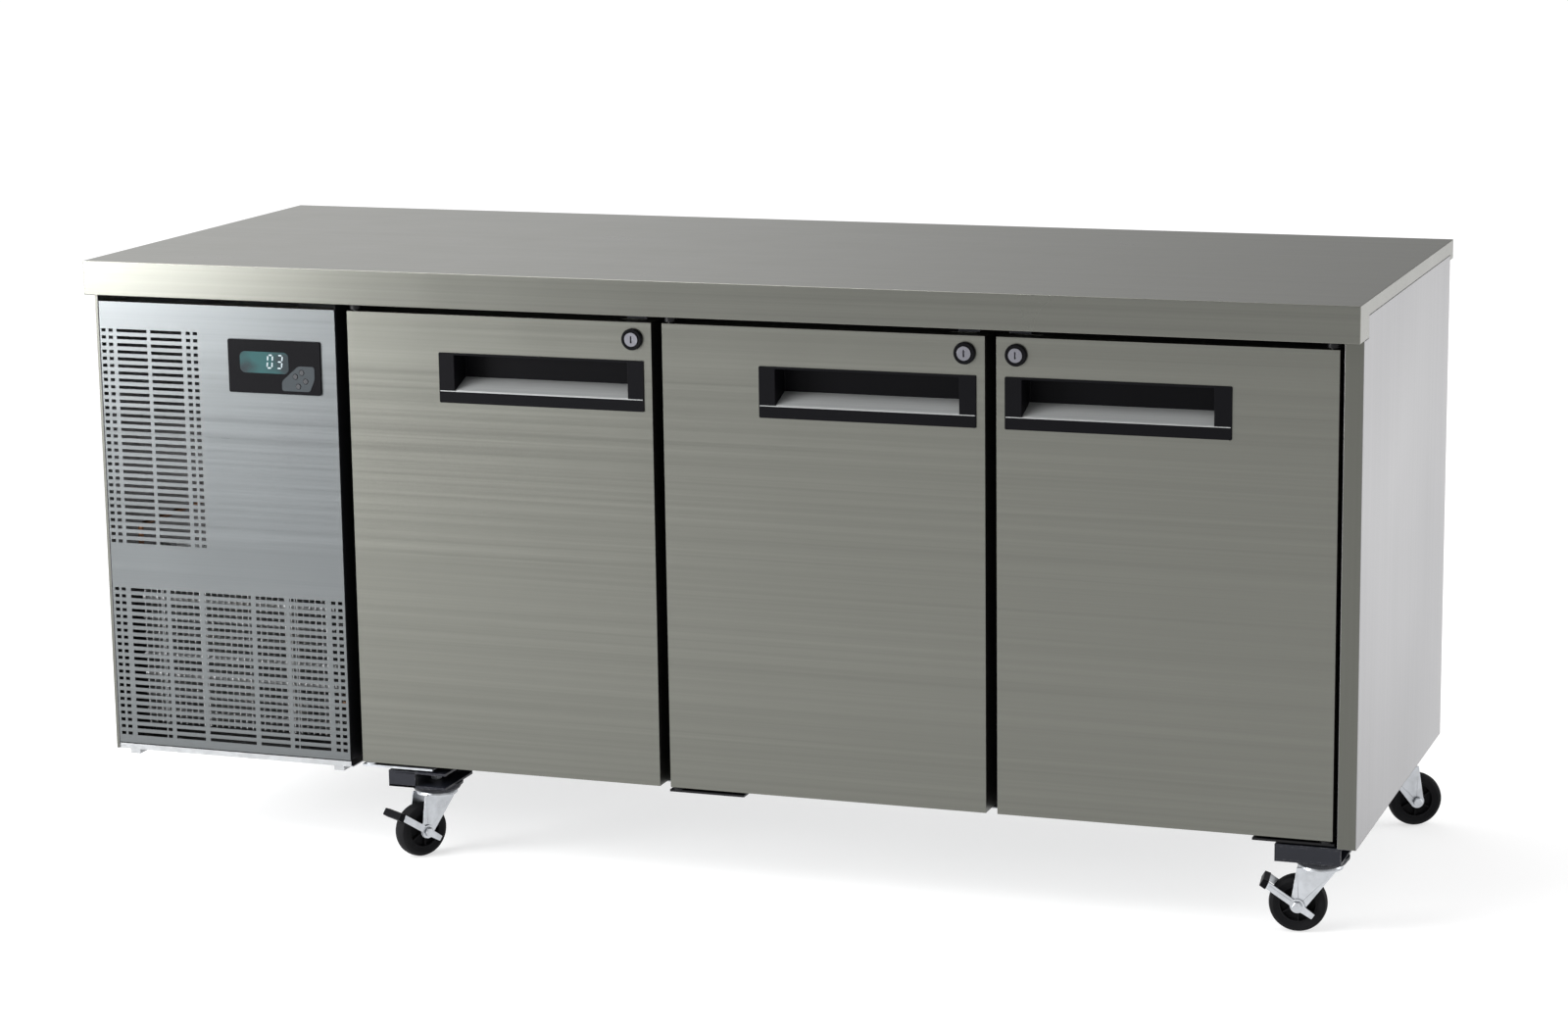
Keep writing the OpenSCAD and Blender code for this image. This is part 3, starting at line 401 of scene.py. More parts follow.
def studio_floor(name):
    """Matt white floor, lit from below as a light table is, so that shadows stay pale."""
    f = Finish(name)
    speck = f.noise(6, detail=3)
    f.set(Base_Color=f.mix(speck, (0.44, 0.44, 0.44), (0.46, 0.46, 0.46)), Roughness=0.9)
    f.set(Specular_IOR_Level=0.1)
    f.set(Emission_Color=(1, 1, 1), Emission_Strength=0.62)
    return f.material


DOOR_TINT = (0.158, 0.160, 0.143)
BLACK = (0.004, 0.004, 0.005)

FINISHES = {
    # worktop_steel: the top's lighter tint and the nose's darker tint are painted light and painted shade on
    # one steel.
    "worktop_steel": worktop_steel("worktop_steel", (0.245, 0.245, 0.222), (0.155, 0.157, 0.141)),
    # panel_steel: the sides' bright tint is painted light and the front face's darker tint is painted shade,
    # on the doors' own steel.
    "panel_steel": side_steel_painted_light("panel_steel", (0.36, 0.358, 0.368), scaled(DOOR_TINT, 0.82)),
    "door_steel": brushed_steel("door_steel", DOOR_TINT, "X", 0.33, 0.08),
    "machine_steel": brushed_steel("machine_steel", (0.138, 0.147, 0.151), "X", 0.32, 0.06),
    "galvanised": galvanised_steel("galvanised", (0.40, 0.41, 0.42)),
    "liner_steel": brushed_steel("liner_steel", (0.62, 0.63, 0.63), "Z", 0.36, 0.05),
    "core_board": plywood("core_board", (0.60, 0.44, 0.27)),
    "foam": rigid_foam("foam", (0.74, 0.62, 0.34)),
    "black_plastic": moulded_plastic("black_plastic", BLACK, 0.42, worn=4, gloss=0.05),
    "frame_plastic": moulded_plastic("frame_plastic", (0.006, 0.006, 0.007), 0.5, worn=2, gloss=0.05),
    "inner_plastic": moulded_plastic("inner_plastic", (0.42, 0.43, 0.42), 0.38, worn=1.1),
    "gasket_rubber": sheet_rubber("gasket_rubber", (0.016, 0.016, 0.018)),
    "lens": tinted_lens("lens", (0.006, 0.052, 0.054)),
    "button_plastic": moulded_plastic("button_plastic", (0.012, 0.014, 0.018), 0.45, worn=3),
    "black_enamel": enamel("black_enamel", (0.010, 0.011, 0.016)),
    "fin_aluminium": finned_aluminium("fin_aluminium", (0.60, 0.61, 0.62)),
    "copper": drawn_copper("copper", (0.72, 0.36, 0.20)),
    "fan_plastic": moulded_plastic("fan_plastic", (0.03, 0.03, 0.034), 0.45, worn=3),
    "motor_steel": enamel("motor_steel", (0.055, 0.060, 0.065)),
    "white_plastic": moulded_plastic("white_plastic", (0.70, 0.71, 0.70), 0.36, worn=1.1),
    "wire": polished_metal("wire", (0.62, 0.63, 0.64)),
    "zinc": zinc_plate("zinc", (0.56, 0.58, 0.61)),
    "lock_chrome": polished_metal("lock_chrome", (0.20, 0.20, 0.225), 0.30),
    "wheel_rubber": sheet_rubber("wheel_rubber", (0.005, 0.005, 0.006), dust=(0.016, 0.016, 0.016)),
}
# Hinge plates: black above and right of reach as painted shade.
HINGE_PLATE_PAINTED_SHADE = hinge_painted_shade("hinge_plate_painted_shade", (0.50, 0.52, 0.55), BLACK, (-0.3, 0.4))
KEY_FIELD = moulded_plastic("key_field", (0.030, 0.037, 0.042), 0.5, worn=1.3, gloss=0.2)
# The recess sheet is the doors' steel brightened as painted light.
RECESS_SHEET_PAINTED_LIGHT = satin_sheet("recess_sheet_with_painted_light", (0.36, 0.37, 0.37))
DIGIT_LIGHT = lit_segment("digit_light", (0.26, 0.31, 0.33))


# ---- mesh helpers ----------------------------------------------------------


def box(bm, low, high):
    """A box between two opposite corners."""
    low, high = Vector(low), Vector(high)
    made = bmesh.ops.create_cube(bm, size=1)["verts"]
    size = high - low
    bmesh.ops.scale(bm, vec=size, verts=made)
    bmesh.ops.translate(bm, vec=(low + high) / 2, verts=made)


def lathe(bm, profile, at, axis, steps=48):
    """Turns (radius, distance along the axis) points about an axis. A radius of 0 closes the form."""
    turn = axis.to_track_quat("Z", "Y").to_matrix()
    rings = []
    for radius, along in profile:
        if radius == 0:
            pole = bm.verts.new(at + turn @ Vector((0, 0, along)))
            rings.append([pole] * steps)
            continue
        spots = [(radius * math.cos(a), radius * math.sin(a), along)
                 for a in (2 * math.pi * k / steps for k in range(steps))]
        rings.append([bm.verts.new(at + turn @ Vector(spot)) for spot in spots])
    for one, two in zip(rings, rings[1:] + rings[:1]):
        for k in range(steps):
            after = (k + 1) % steps
            corners = dict.fromkeys((one[k], one[after], two[after], two[k]))
            if len(corners) > 2:
                bm.faces.new(corners)


def outline_plate(bm, outer, holes, place, thickness):
    """A plate with holes, drawn flat in (u, v) and put in place by a matrix.

    It thickens along the matrix's third axis.
    """
    edges = []
    for loop in (outer, *holes):
        corners = [bm.verts.new(place @ Vector((u, v, 0))) for u, v in loop]
        edges += [bm.edges.new(pair) for pair in zip(corners, corners[1:] + corners[:1])]
    filled = bmesh.ops.triangle_fill(bm, use_beauty=True, edges=edges)["geom"]
    faces = [part for part in filled if isinstance(part, bmesh.types.BMFace)]
    raised = bmesh.ops.extrude_face_region(bm, geom=faces, use_keep_orig=True)["geom"]
    moved = [part for part in raised if isinstance(part, bmesh.types.BMVert)]
    bmesh.ops.translate(bm, vec=place.to_3x3() @ Vector((0, 0, thickness)), verts=moved)


def circle(u, v, radius, steps=24):
    """Points of a circle in a flat drawing."""
    turns = (2 * math.pi * k / steps for k in range(steps))
    return [(u + radius * math.cos(a), v + radius * math.sin(a)) for a in turns]


def arc(radius, start, step, count):
    """Points of an arc about the drawing's origin, with its angles in degrees."""
    turns = (math.radians(start + step * k) for k in range(count))
    return [(radius * math.cos(a), radius * math.sin(a)) for a in turns]


def axes(origin, across, up):
    """A matrix that puts a flat drawing upright in space, thickening towards across x up."""
    out = across.cross(up)
    turn = Matrix((across, up, out)).transposed()
    return Matrix.Translation(origin) @ turn.to_4x4()


def make_piece(name, bm, slot, body, rounding=0, material=None):
    """Turns a bmesh into a piece that rides on a body, with softened edges."""
    bmesh.ops.recalc_face_normals(bm, faces=bm.faces)
    mesh = bpy.data.meshes.new(name)
    bm.to_mesh(mesh)
    bm.free()
    mesh.materials.append(material or FINISHES[slot])
    mesh.shade_smooth()
    mesh.set_sharp_from_angle(angle=math.radians(32))
    piece = bpy.data.objects.new(name, mesh)
    bpy.context.scene.collection.objects.link(piece)
    if rounding:
        round_edges(piece, rounding)
    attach(piece, body)
    return piece


def round_edges(piece, width, segments=3, clamp=True):
    """Rounds the folds and edges of a piece, which then catch the light."""
    weld = piece.modifiers.new("weld", "WELD")
    weld.merge_threshold = 0.01 * MM
    bevel = piece.modifiers.new("fold", "BEVEL")
    bevel.width = width
    bevel.segments = segments
    bevel.limit_method = "ANGLE"
    bevel.angle_limit = math.radians(40)
    bevel.harden_normals = True
    bevel.use_clamp_overlap = clamp


def middle(node):
    low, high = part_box(node)
    return (low + high) / 2


# ---- cabinet ---------------------------------------------------------------


def dress_nodes():
    """Gives every CAD node the finish of its slot in the record."""
    for row in frame["record"]["subparts"]:
        for holder in NODES[row["node"]].material_slots:
            holder.material = FINISHES[row["material_slot"]]
    NODES["hinge_brackets"].material_slots[0].material = HINGE_PLATE_PAINTED_SHADE
    # The lock keepers are black as painted shade, not in their zinc slot.
    NODES["lock_keepers"].material_slots[0].material = FINISHES["black_enamel"]


def round_folds():
    """Rounds the folds of the sheet parts and the edges of the mouldings."""
    round_edges(NODES["worktop_skin"], 2.5 * MM, 4)
    for name in ("side_panel_right", "side_panel_left"):
        round_edges(NODES[name], 1.2 * MM)
    for name in ("controller_bezel", "controller_window", "door_frame", "evaporator_housing"):
        round_edges(NODES[name], 0.6 * MM)
    for door in DOORS:
        round_edges(NODES[f"door_{door}_shell"], 2.2 * MM, 4)
        round_edges(NODES[f"door_{door}_handle"], 0.8 * MM, clamp=False)
        round_edges(NODES[f"door_{door}_inner_panel"], 1.5 * MM)
        round_edges(NODES[f"door_{door}_lock_housing"], 0.8 * MM)
        round_edges(NODES[f"door_{door}_lock_barrel"], 0.5 * MM)


def pan_head(bm, at, out, radius=3.6 * MM):
    """A pan head screw with a hexagonal socket."""
    socket = radius * 0.42
    height = radius * 0.62
    sunk = -0.3 * MM
    profile = [(0, height * 0.35), (socket, height * 0.35), (socket, height), (radius * 0.7, height * 0.93),
               (radius * 0.93, height * 0.62), (radius, height * 0.2), (radius, sunk), (0, sunk)]
    lathe(bm, profile, at, out, steps=24)


def machine_jamb():
    """Black strip that closes the slit between the machine panel's flange and the bulkhead."""
    panel_low, panel_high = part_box("machine_front_panel")
    wall_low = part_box("bulkhead")[0]
    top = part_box("worktop_skin")[0].z
    gap = 0.2 * MM
    bm = bmesh.new()
    set_back = 2 * MM
    low = (panel_high.x + gap, panel_low.y + set_back, panel_low.z)
    box(bm, low, (wall_low.x - gap, wall_low.y - gap, top - gap))
    make_piece("machine_jamb", bm, "frame_plastic", "cabinet", 0.2 * MM)


def back_screws():
    """Screws round the edge of the back panel."""
    low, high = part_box("back_panel")
    inset = 14 * MM
    columns = 7
    bm = bmesh.new()
    for k in range(columns):
        x = low.x + inset + k * (high.x - low.x - 2 * inset) / (columns - 1)
        for z in (low.z + inset, high.z - inset):
            pan_head(bm, Vector((x, high.y, z)), BACK)
    for x in (low.x + inset, high.x - inset):
        for share in (0.33, 0.67):
            pan_head(bm, Vector((x, high.y, low.z + share * (high.z - low.z))), BACK)
    make_piece("back_panel_screws", bm, "zinc", "cabinet")


def fan_guard(name, centre, out, radius):
    """A welded wire guard: rings on four spokes."""
    wire = 1.1 * MM
    bm = bmesh.new()
    rings = 5
    for k in range(1, rings + 1):
        ring = radius * k / rings
        lathe(bm, [(ring + u, v) for u, v in circle(0, 0, wire, 8)], centre, out, steps=64)
    side = out.cross(UP)
    for k in range(4):
        spoke = Matrix.Rotation(k * math.pi / 2 + math.pi / 4, 3, out) @ side
        lathe(bm, [(0, radius * 0.2), (wire, radius * 0.2), (wire, radius), (0, radius)],
              centre + out * wire, spoke, steps=8)
    make_piece(name, bm, "wire", "cabinet")


def evaporator_guard():
    """The guard over the fan at the outlet of the evaporator housing."""
    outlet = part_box("evaporator_housing")[1].x
    fan = middle("evaporator_fan")
    stand_off = 1.5 * MM
    fan_guard("evaporator_guard", Vector((outlet + stand_off, fan.y, fan.z)), RIGHT, 86 * MM)


def gland_nut():
    """Ribbed dome nut over the cable gland's outer end."""
    low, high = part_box("cable_gland")
    length, skirt, shoulder = 13.6 * MM, 8 * MM, 12 * MM
    bore, outside = 5.3 * MM, 12.6 * MM
    at = Vector(((low.x + high.x) / 2, high.y - length - 0.2 * MM, (low.z + high.z) / 2))
    profile = [(bore, 0), (outside, 0), (outside, skirt), (10.5 * MM, shoulder), (7 * MM, length),
               (bore, length)]
    bm = bmesh.new()
    lathe(bm, profile, at, BACK, steps=40)
    ribs, rib_radius = 12, 1.1 * MM
    for k in range(ribs):
        rib = Matrix.Rotation(2 * math.pi * k / ribs, 3, BACK) @ UP
        spot = at + rib * (outside - 0.2 * MM)
        lathe(bm, [(0, 0), (rib_radius, 0), (rib_radius, skirt), (0, skirt)], spot, BACK, steps=10)
    make_piece("cable_gland_nut", bm, "black_plastic", "cabinet")


# ---- controller ------------------------------------------------------------

SEGMENTS = {
    "a": ((0.12, 1.0), (0.88, 1.0)), "b": ((1.0, 0.94), (1.0, 0.56)), "c": ((1.0, 0.44), (1.0, 0.06)),
    "d": ((0.12, 0.0), (0.88, 0.0)), "e": ((0.0, 0.44), (0.0, 0.06)), "f": ((0.0, 0.94), (0.0, 0.56)),
    "g": ((0.12, 0.5), (0.88, 0.5)),
}
LIT = {"0": "abcdef", "3": "abgcd"}


def digit(bm, shape, corner, size, stroke):
    """One seven-segment digit, its bars pointed at both ends and leaning a little."""
    lean = 0.10
    for bar in LIT[shape]:
        (u0, v0), (u1, v1) = SEGMENTS[bar]
        start = Vector(((u0 * size[0]) + lean * v0 * size[1], v0 * size[1]))
        end = Vector(((u1 * size[0]) + lean * v1 * size[1], v1 * size[1]))
        run = (end - start).normalized()
        side = Vector((-run.y, run.x)) * stroke / 2
        tip = run * stroke / 2
        points = [start, start + tip + side, end - tip + side, end, end - tip - side, start + tip - side]
        outline_plate(bm, [tuple(p) for p in points], [], axes(corner, RIGHT, UP), 0.3 * MM)


def display_digits():
    """Two lit digits at the right end of the display window."""
    low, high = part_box("controller_window")
    width, height = high.x - low.x, high.z - low.z
    tall = height * 0.60
    first, pitch, rise = 0.44, 0.20, 0.26  # shares of the window
    bm = bmesh.new()
    for k, shape in enumerate("03"):
        x = high.x - (first - pitch * k) * width
        corner = Vector((x, low.y - 0.02 * MM, low.z + height * rise))
        digit(bm, shape, corner, (tall * 0.40, tall), 2.1 * MM)
    make_piece("display_digits", bm, "lens", "cabinet", material=DIGIT_LIGHT)


def key_field():
    """The grey membrane round the four keys, raised a little from the bezel."""
    low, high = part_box("controller_bezel")
    keys = [middle(f"button_{k}") for k in KEYS]
    centre = sum(keys, Vector()) / len(keys)
    width, height = high.x - low.x, high.z - low.z
    corner = Vector((centre.x, low.y, centre.z))
    shares = [(-0.20, -0.23), (0.10, -0.23), (0.155, 0.0), (0.155, 0.24), (-0.02, 0.24), (-0.20, -0.05)]
    outer = soft_polygon(shares, width, height, 4 * MM)
    holes = [circle(key.x - centre.x, key.z - centre.z, 4.3 * MM) for key in keys]
    bm = bmesh.new()
    outline_plate(bm, outer, holes, axes(corner, RIGHT, UP), 0.5 * MM)
    make_piece("key_field", bm, "button_plastic", "cabinet", material=KEY_FIELD)


def soft_polygon(shares, width, height, radius, steps=5):
    """A polygon given in shares of a size, with its corners cut round."""
    points = [Vector((u * width, v * height)) for u, v in shares]
    made = []
    for before, here, after in zip(points[-1:] + points[:-1], points, points[1:] + points[:1]):
        start = here + (before - here).normalized() * radius
        end = here + (after - here).normalized() * radius
        for k in range(steps + 1):
            t = k / steps
            spot = start * (1 - t) ** 2 + here * 2 * t * (1 - t) + end * t ** 2
            made.append((spot.x, spot.y))
    return made


# ---- doors -----------------------------------------------------------------

# One half of the magnetic gasket's section: (out from its middle, back from the door), in mm.
GASKET_HALF = [
    (2.5, 0.0), (2.5, 3.0), (5.8, 3.0), (5.8, 4.4), (3.6, 5.0), (5.0, 6.6), (3.4, 7.6), (5.2, 8.8),
    (5.9, 9.6), (5.9, 11.6), (5.0, 12.5),
]
GASKET_MIDDLE = 6
GASKET_SECTION = [(GASKET_MIDDLE + u, v) for u, v in GASKET_HALF]
GASKET_SECTION += [(GASKET_MIDDLE - u, v) for u, v in reversed(GASKET_HALF)]


def door_gasket(door):
    """A bellows gasket swept round the back of a door, mitred at its corners."""
    node = f"door_{door}_gasket"
    low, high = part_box(node)
    corners = [(low.x, low.z, 1, 1), (high.x, low.z, -1, 1), (high.x, high.z, -1, -1),
               (low.x, high.z, 1, -1)]
    bm = bmesh.new()
    rings = [[bm.verts.new((x + sx * u * MM, low.y + v * MM, z + sz * u * MM)) for u, v in GASKET_SECTION]
             for x, z, sx, sz in corners]
    for one, two in zip(rings, rings[1:] + rings[:1]):
        for k in range(len(GASKET_SECTION)):
            after = (k + 1) % len(GASKET_SECTION)
            bm.faces.new((one[k], one[after], two[after], two[k]))
    piece = make_piece(f"door_{door}_bellows_gasket", bm, "gasket_rubber", f"door_{door}")
    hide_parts(node)


def recess_sheet_with_painted_light(door):
    """The sheet that lines the floor of a handle recess, brightened beyond the doors' steel as painted
    light, and a bright strip along the lower bar that is a painted highlight.
    """
    low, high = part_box(f"door_{door}_handle")
    cheek, bar, rise, sheet = 24 * MM, 17 * MM, 15 * MM, 1 * MM
    front = low.y + 2 * MM
    rear = high.y - 2.4 * MM
    base = low.z + bar
    section = [(front, base - sheet), (front, base + 1.2 * MM), (front + 1.5 * MM, base + 1.8 * MM),
               (rear, base + rise), (rear, base + rise - sheet), (front + 2.5 * MM, base - 0.4 * MM)]
    bm = bmesh.new()
    ends = [[bm.verts.new((x, y, z)) for y, z in section] for x in (low.x + cheek, high.x - cheek)]
    bm.faces.new(ends[0])
    bm.faces.new(list(reversed(ends[1])))
    for k in range(len(section)):
        after = (k + 1) % len(section)
        bm.faces.new((ends[0][k], ends[0][after], ends[1][after], ends[1][k]))
    margin, edge = 1.5 * MM, 0.6 * MM
    # The bright strip along the lower bar's top is a painted highlight.
    box(bm, (low.x + margin, low.y - edge / 2, base - edge), (high.x - margin, low.y + edge, base + edge))
    make_piece(f"door_{door}_recess_sheet_with_painted_light", bm, "door_steel", f"door_{door}", 0.3 * MM, RECESS_SHEET_PAINTED_LIGHT)


def lock_face(door):
    """The lock's domed black collar, and the disc with its key slit that turns with the barrel."""
    low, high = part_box(f"door_{door}_lock_housing")
    front = Vector(((low.x + high.x) / 2, low.y, (low.z + high.z) / 2))
    bore, collar, proud = 9.0 * MM, 15.2 * MM, 2 * MM
    profile = [(bore, -0.2 * MM), (collar, -0.2 * MM), (collar, 0.8 * MM), (collar - 1.4 * MM, proud),
               (bore + 1.2 * MM, proud), (bore, 1.4 * MM)]
    bm = bmesh.new()
    lathe(bm, profile, front, FRONT, steps=48)
    make_piece(f"door_{door}_lock_collar", bm, "black_plastic", f"door_{door}")
    disc, slit_side, slit_end = 9.8 * MM, 1.1 * MM, 4.8 * MM
    keyway = [(-slit_side, -slit_end), (slit_side, -slit_end), (slit_side, slit_end), (-slit_side, slit_end)]
    place = axes(front + FRONT * (proud + 0.1 * MM), RIGHT, UP)
    bm = bmesh.new()
    outline_plate(bm, circle(0, 0, disc, 40), [keyway], place, 1.2 * MM)
    make_piece(f"door_{door}_lock_disc", bm, "lock_chrome", f"lock_{door}", 0.25 * MM)


# ---- casters ---------------------------------------------------------------

WHEEL_WIDTH = 26 * MM
LEG_IN = 15.5 * MM
LEG_THICK = 2.5 * MM
ARM_IN = 18.6 * MM
ARM_THICK = 2.0 * MM
BRAKE_TILT = 34
NOTCHED = (1, 3)


class Caster:
    """Places of one caster at rest, read from its joints."""

    def __init__(self, number):
        roll = JOINTS[f"caster_{number}_roll"]
        swivel = JOINTS[f"caster_{number}_swivel"]
        self.axle = Vector(roll["pos_m"])
        self.side = Vector(roll["axis"]).normalized()
        self.stem = Vector((swivel["pos_m"][0], swivel["pos_m"][1], 0))
        self.ahead = (Vector((self.stem.x, self.stem.y, self.axle.z)) - self.axle).normalized()
        self.trail = (Vector((self.stem.x, self.stem.y, self.axle.z)) - self.axle).length
        low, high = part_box(f"caster_{number}_wheel")
        self.radius = (high.z - low.z) / 2
        self.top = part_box("caster_mounts")[0].z - 0.3 * MM


def caster_wheel(number, caster):
    """A crowned tyre on a ribbed hub; half is half the wheel's width."""
    r, half = caster.radius, WHEEL_WIDTH / 2
    body = f"caster_{number}_roller"
    shoulder = [(r * 0.66, half * 0.80), (r * 0.84, half * 0.94), (r * 0.94, half * 0.78),
                (r * 0.985, half * 0.45)]
    tread = [(radius, -along) for radius, along in shoulder] + [(r, 0)] + shoulder[::-1]
    bm = bmesh.new()
    lathe(bm, tread, caster.axle, caster.side, steps=72)
    tyre = make_piece(f"caster_{number}_tyre", bm, "wheel_rubber", body, 0.6 * MM)
    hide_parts(f"caster_{number}_wheel")
    bm = bmesh.new()
    bore, boss, rim, web = 4.1 * MM, 9 * MM, r * 0.665, 3.5 * MM
    inside, lip = rim - 2.5 * MM, half * 0.82
    hub_half = [(bore, half), (boss, half), (boss, web), (inside, web), (inside, lip), (rim, lip)]
    hub = [(radius, -along) for radius, along in hub_half] + hub_half[::-1]
    lathe(bm, hub, caster.axle, caster.side, steps=48)
    for k in range(6):
        spoke = Matrix.Rotation(k * math.pi / 3, 3, caster.side) @ UP
        for face in (-1, 1):
            rib = axes(caster.axle + spoke * boss * 0.9 + caster.side * face * web * 0.9, spoke, caster.side)
            length, tall = rim - boss * 0.9 - 2 * MM, face * half * 0.48
            outline_plate(bm, [(0, 0), (length, 0), (length, tall), (0, tall)], [], rib, 1.6 * MM)
    make_piece(f"caster_{number}_hub", bm, "wheel_rubber", body, 0.4 * MM)


def leg_outline(caster):
    """A fork leg seen from its side: u ahead of the axle, v up from it."""
    top = caster.top - caster.axle.z - 4 * MM
    head = caster.trail + 24 * MM
    foot = 10.5 * MM
    return [(head, top), (-1.5 * MM, top), *arc(foot, 150, 15, 13)]


def caster_fork(number, caster):
    """A pressed fork: a dished top over two legs, with its stem, axle and nuts."""
    body = f"caster_{number}_swivel"
    bm = bmesh.new()
    crown = caster.stem + UP * caster.top
    outside, inside, skirt, sheet = 30.5 * MM, 28 * MM, -7 * MM, -3 * MM
    dish = [(0, 0), (26 * MM, 0), (29 * MM, -1.2 * MM), (outside, -4 * MM), (outside, skirt),
            (inside, skirt), (inside, -4.5 * MM), (25 * MM, sheet), (0, sheet)]
    lathe(bm, dish, crown, UP, steps=56)
    for face in (-1, 1):
        inner = LEG_IN if face > 0 else -LEG_IN - LEG_THICK
        place = axes(caster.axle + caster.side * inner, caster.ahead, UP)
        thick = LEG_THICK * hand(caster.ahead, UP, caster.side)
        outline_plate(bm, leg_outline(caster), [circle(0, 0, 4.2 * MM)], place, thick)
    stem, stem_top, chamfer = 5.8 * MM, 23 * MM, 1 * MM
    lathe(bm, [(0, -1 * MM), (stem, -1 * MM), (stem, stem_top), (4.6 * MM, stem_top + chamfer),
               (0, stem_top + chamfer)], crown, UP, steps=24)
    fork = make_piece(f"caster_{number}_pressed_fork", bm, "zinc", body, 0.7 * MM)
    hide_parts(f"caster_{number}_fork")
    bm = bmesh.new()
    nut_z = crown + UP * 14 * MM
    lathe(bm, hexagon(8.6 * MM, 6.5 * MM), nut_z, UP, steps=6)
    reach = ARM_IN + ARM_THICK + 0.5 * MM
    axle, end = 4 * MM, reach + 1 * MM
    lathe(bm, [(0, -end), (axle, -end), (axle, end), (0, end)], caster.axle, caster.side, steps=24)
    for face in (-1, 1):
        out = caster.side * face
        lathe(bm, hexagon(7 * MM, 3.8 * MM), caster.axle + out * reach, out, steps=6)
    make_piece(f"caster_{number}_bolts", bm, "zinc", body, 0.3 * MM)


def caster_brackets(casters):
    """Folded channels under the cabinet, each with a lipped bearing race below it."""
    low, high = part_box("caster_mounts")
    sheet, side, rear, front = 3 * MM, 48 * MM, 54 * MM, 36 * MM
    bore, race, race_h, lip = 6.2 * MM, 39 * MM, 10 * MM, 3 * MM
    race_top = low.z + race_h
    rings = [(bore, 0), (bore, race_h), (race, race_h), (race, 6.5 * MM), (race - lip, 5.5 * MM),
             (race - lip, 3 * MM), (race - 5 * MM, 0)]
    plan = [(-rear, -side), (front, -side), (front, side), (-rear, side)]
    bm = bmesh.new()
    for number, caster in casters.items():
        x, y = caster.stem.x, caster.stem.y
        notch = x - 12 * MM if number in NOTCHED else x + front
        floor = axes(Vector((x, y, race_top)), RIGHT, BACK)
        outline_plate(bm, plan, [circle(0, 0, bore)], floor, sheet)
        box(bm, (x - rear, y - side, high.z - sheet), (x + front, y + side, high.z))
        box(bm, (x - rear, y - side, race_top), (notch, y - side + sheet, high.z))
        box(bm, (x - rear, y + side - sheet, race_top), (x + front, y + side, high.z))
        lathe(bm, rings, Vector((x, y, low.z)), UP, steps=56)
    brackets = make_piece("caster_brackets", bm, "black_enamel", "cabinet", 0.8 * MM)
    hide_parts("caster_mounts")


def caster_brake(number, caster):
    """A ridged brake bar each side of the wheel, joined by a pedal with a black pad."""
    body = f"caster_{number}_pedal"
    tilt = math.radians(BRAKE_TILT)
    along = UP * math.sin(tilt) - caster.ahead * math.cos(tilt)
    across = caster.ahead * math.sin(tilt) + UP * math.cos(tilt)
    turned = hand(along, across, caster.side)
    tail, boss, pedal, foot = -26 * MM, 10 * MM, 51 * MM, 57 * MM
    bar, ridge = 5 * MM, 1.6 * MM  # half widths
    half = ARM_IN + ARM_THICK
    arm = [(tail, -4 * MM), *arc(boss, 210, 15, 9), (pedal, -bar), (pedal, bar), *arc(boss, 30, 15, 9),
           (tail, 4 * MM)]
    bm = bmesh.new()
    for face in (-1, 1):
        flat = axes(caster.axle + caster.side * face * ARM_IN, along, across)
        outline_plate(bm, arm, [circle(0, 0, 4.2 * MM)], flat, ARM_THICK * face * turned)
    joined = [(pedal - 1 * MM, -bar), (foot, -bar), (foot, 3 * MM), (pedal - 1 * MM, 3 * MM)]
    flat = axes(caster.axle - caster.side * half, along, across)
    outline_plate(bm, joined, [], flat, 2 * half * turned)
    brake = make_piece(f"caster_{number}_brake_bar", bm, "zinc", body, 0.5 * MM)
    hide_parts(f"caster_{number}_brake")

    stiffener = [(boss, -ridge), (pedal - 3 * MM, -ridge), (pedal - 3 * MM, ridge), (boss, ridge)]
    bm = bmesh.new()
    for face in (-1, 1):
        flat = axes(caster.axle + caster.side * face * (half - 0.2 * MM), along, across)
        outline_plate(bm, stiffener, [], flat, 0.9 * MM * face * turned)
    make_piece(f"caster_{number}_brake_ridge", bm, "zinc", body, 0.3 * MM)

    pad = [(pedal - 3 * MM, -6.5 * MM), (foot + 1 * MM, -6.5 * MM), (foot + 1.5 * MM, 4 * MM),
           (pedal - 1 * MM, 6 * MM)]
    reach = half + 1 * MM
    bm = bmesh.new()
    outline_plate(bm, pad, [], axes(caster.axle - caster.side * reach, along, across), 2 * reach * turned)
    make_piece(f"caster_{number}_brake_pad", bm, "black_plastic", body, 1 * MM)


def hand(across, up, out):
    """1 if a drawing laid out along across and up thickens towards out, -1 if away from it."""
    return 1 if across.cross(up).dot(out) > 0 else -1


def hexagon(radius, height):
    """Profile of a bolt head or nut with its corners turned down."""
    return [(0, 0), (radius, 0), (radius, height * 0.8), (radius * 0.86, height), (0, height)]


# ---- studio ----------------------------------------------------------------

CAMERA_AT = Vector((1.8588, -5.1593, 1.5825))
CAMERA_YAW = 19.652
CAMERA_DOWN = 11.392
CAMERA_ROLL = -0.782
CAMERA_LENS = 87.0


def camera():
    data = bpy.data.cameras.new("camera")
    data.lens = CAMERA_LENS
    data.sensor_width = 36
    data.clip_end = 200
    view = bpy.data.objects.new("camera", data)
    turn = Matrix.Rotation(math.radians(CAMERA_YAW), 4, "Z")
    tilt = Matrix.Rotation(math.radians(90 - CAMERA_DOWN), 4, "X")
    roll = Matrix.Rotation(math.radians(CAMERA_ROLL), 4, "Z")
    view.matrix_world = Matrix.Translation(CAMERA_AT) @ turn @ tilt @ roll
    bpy.context.scene.collection.objects.link(view)
    bpy.context.scene.camera = view


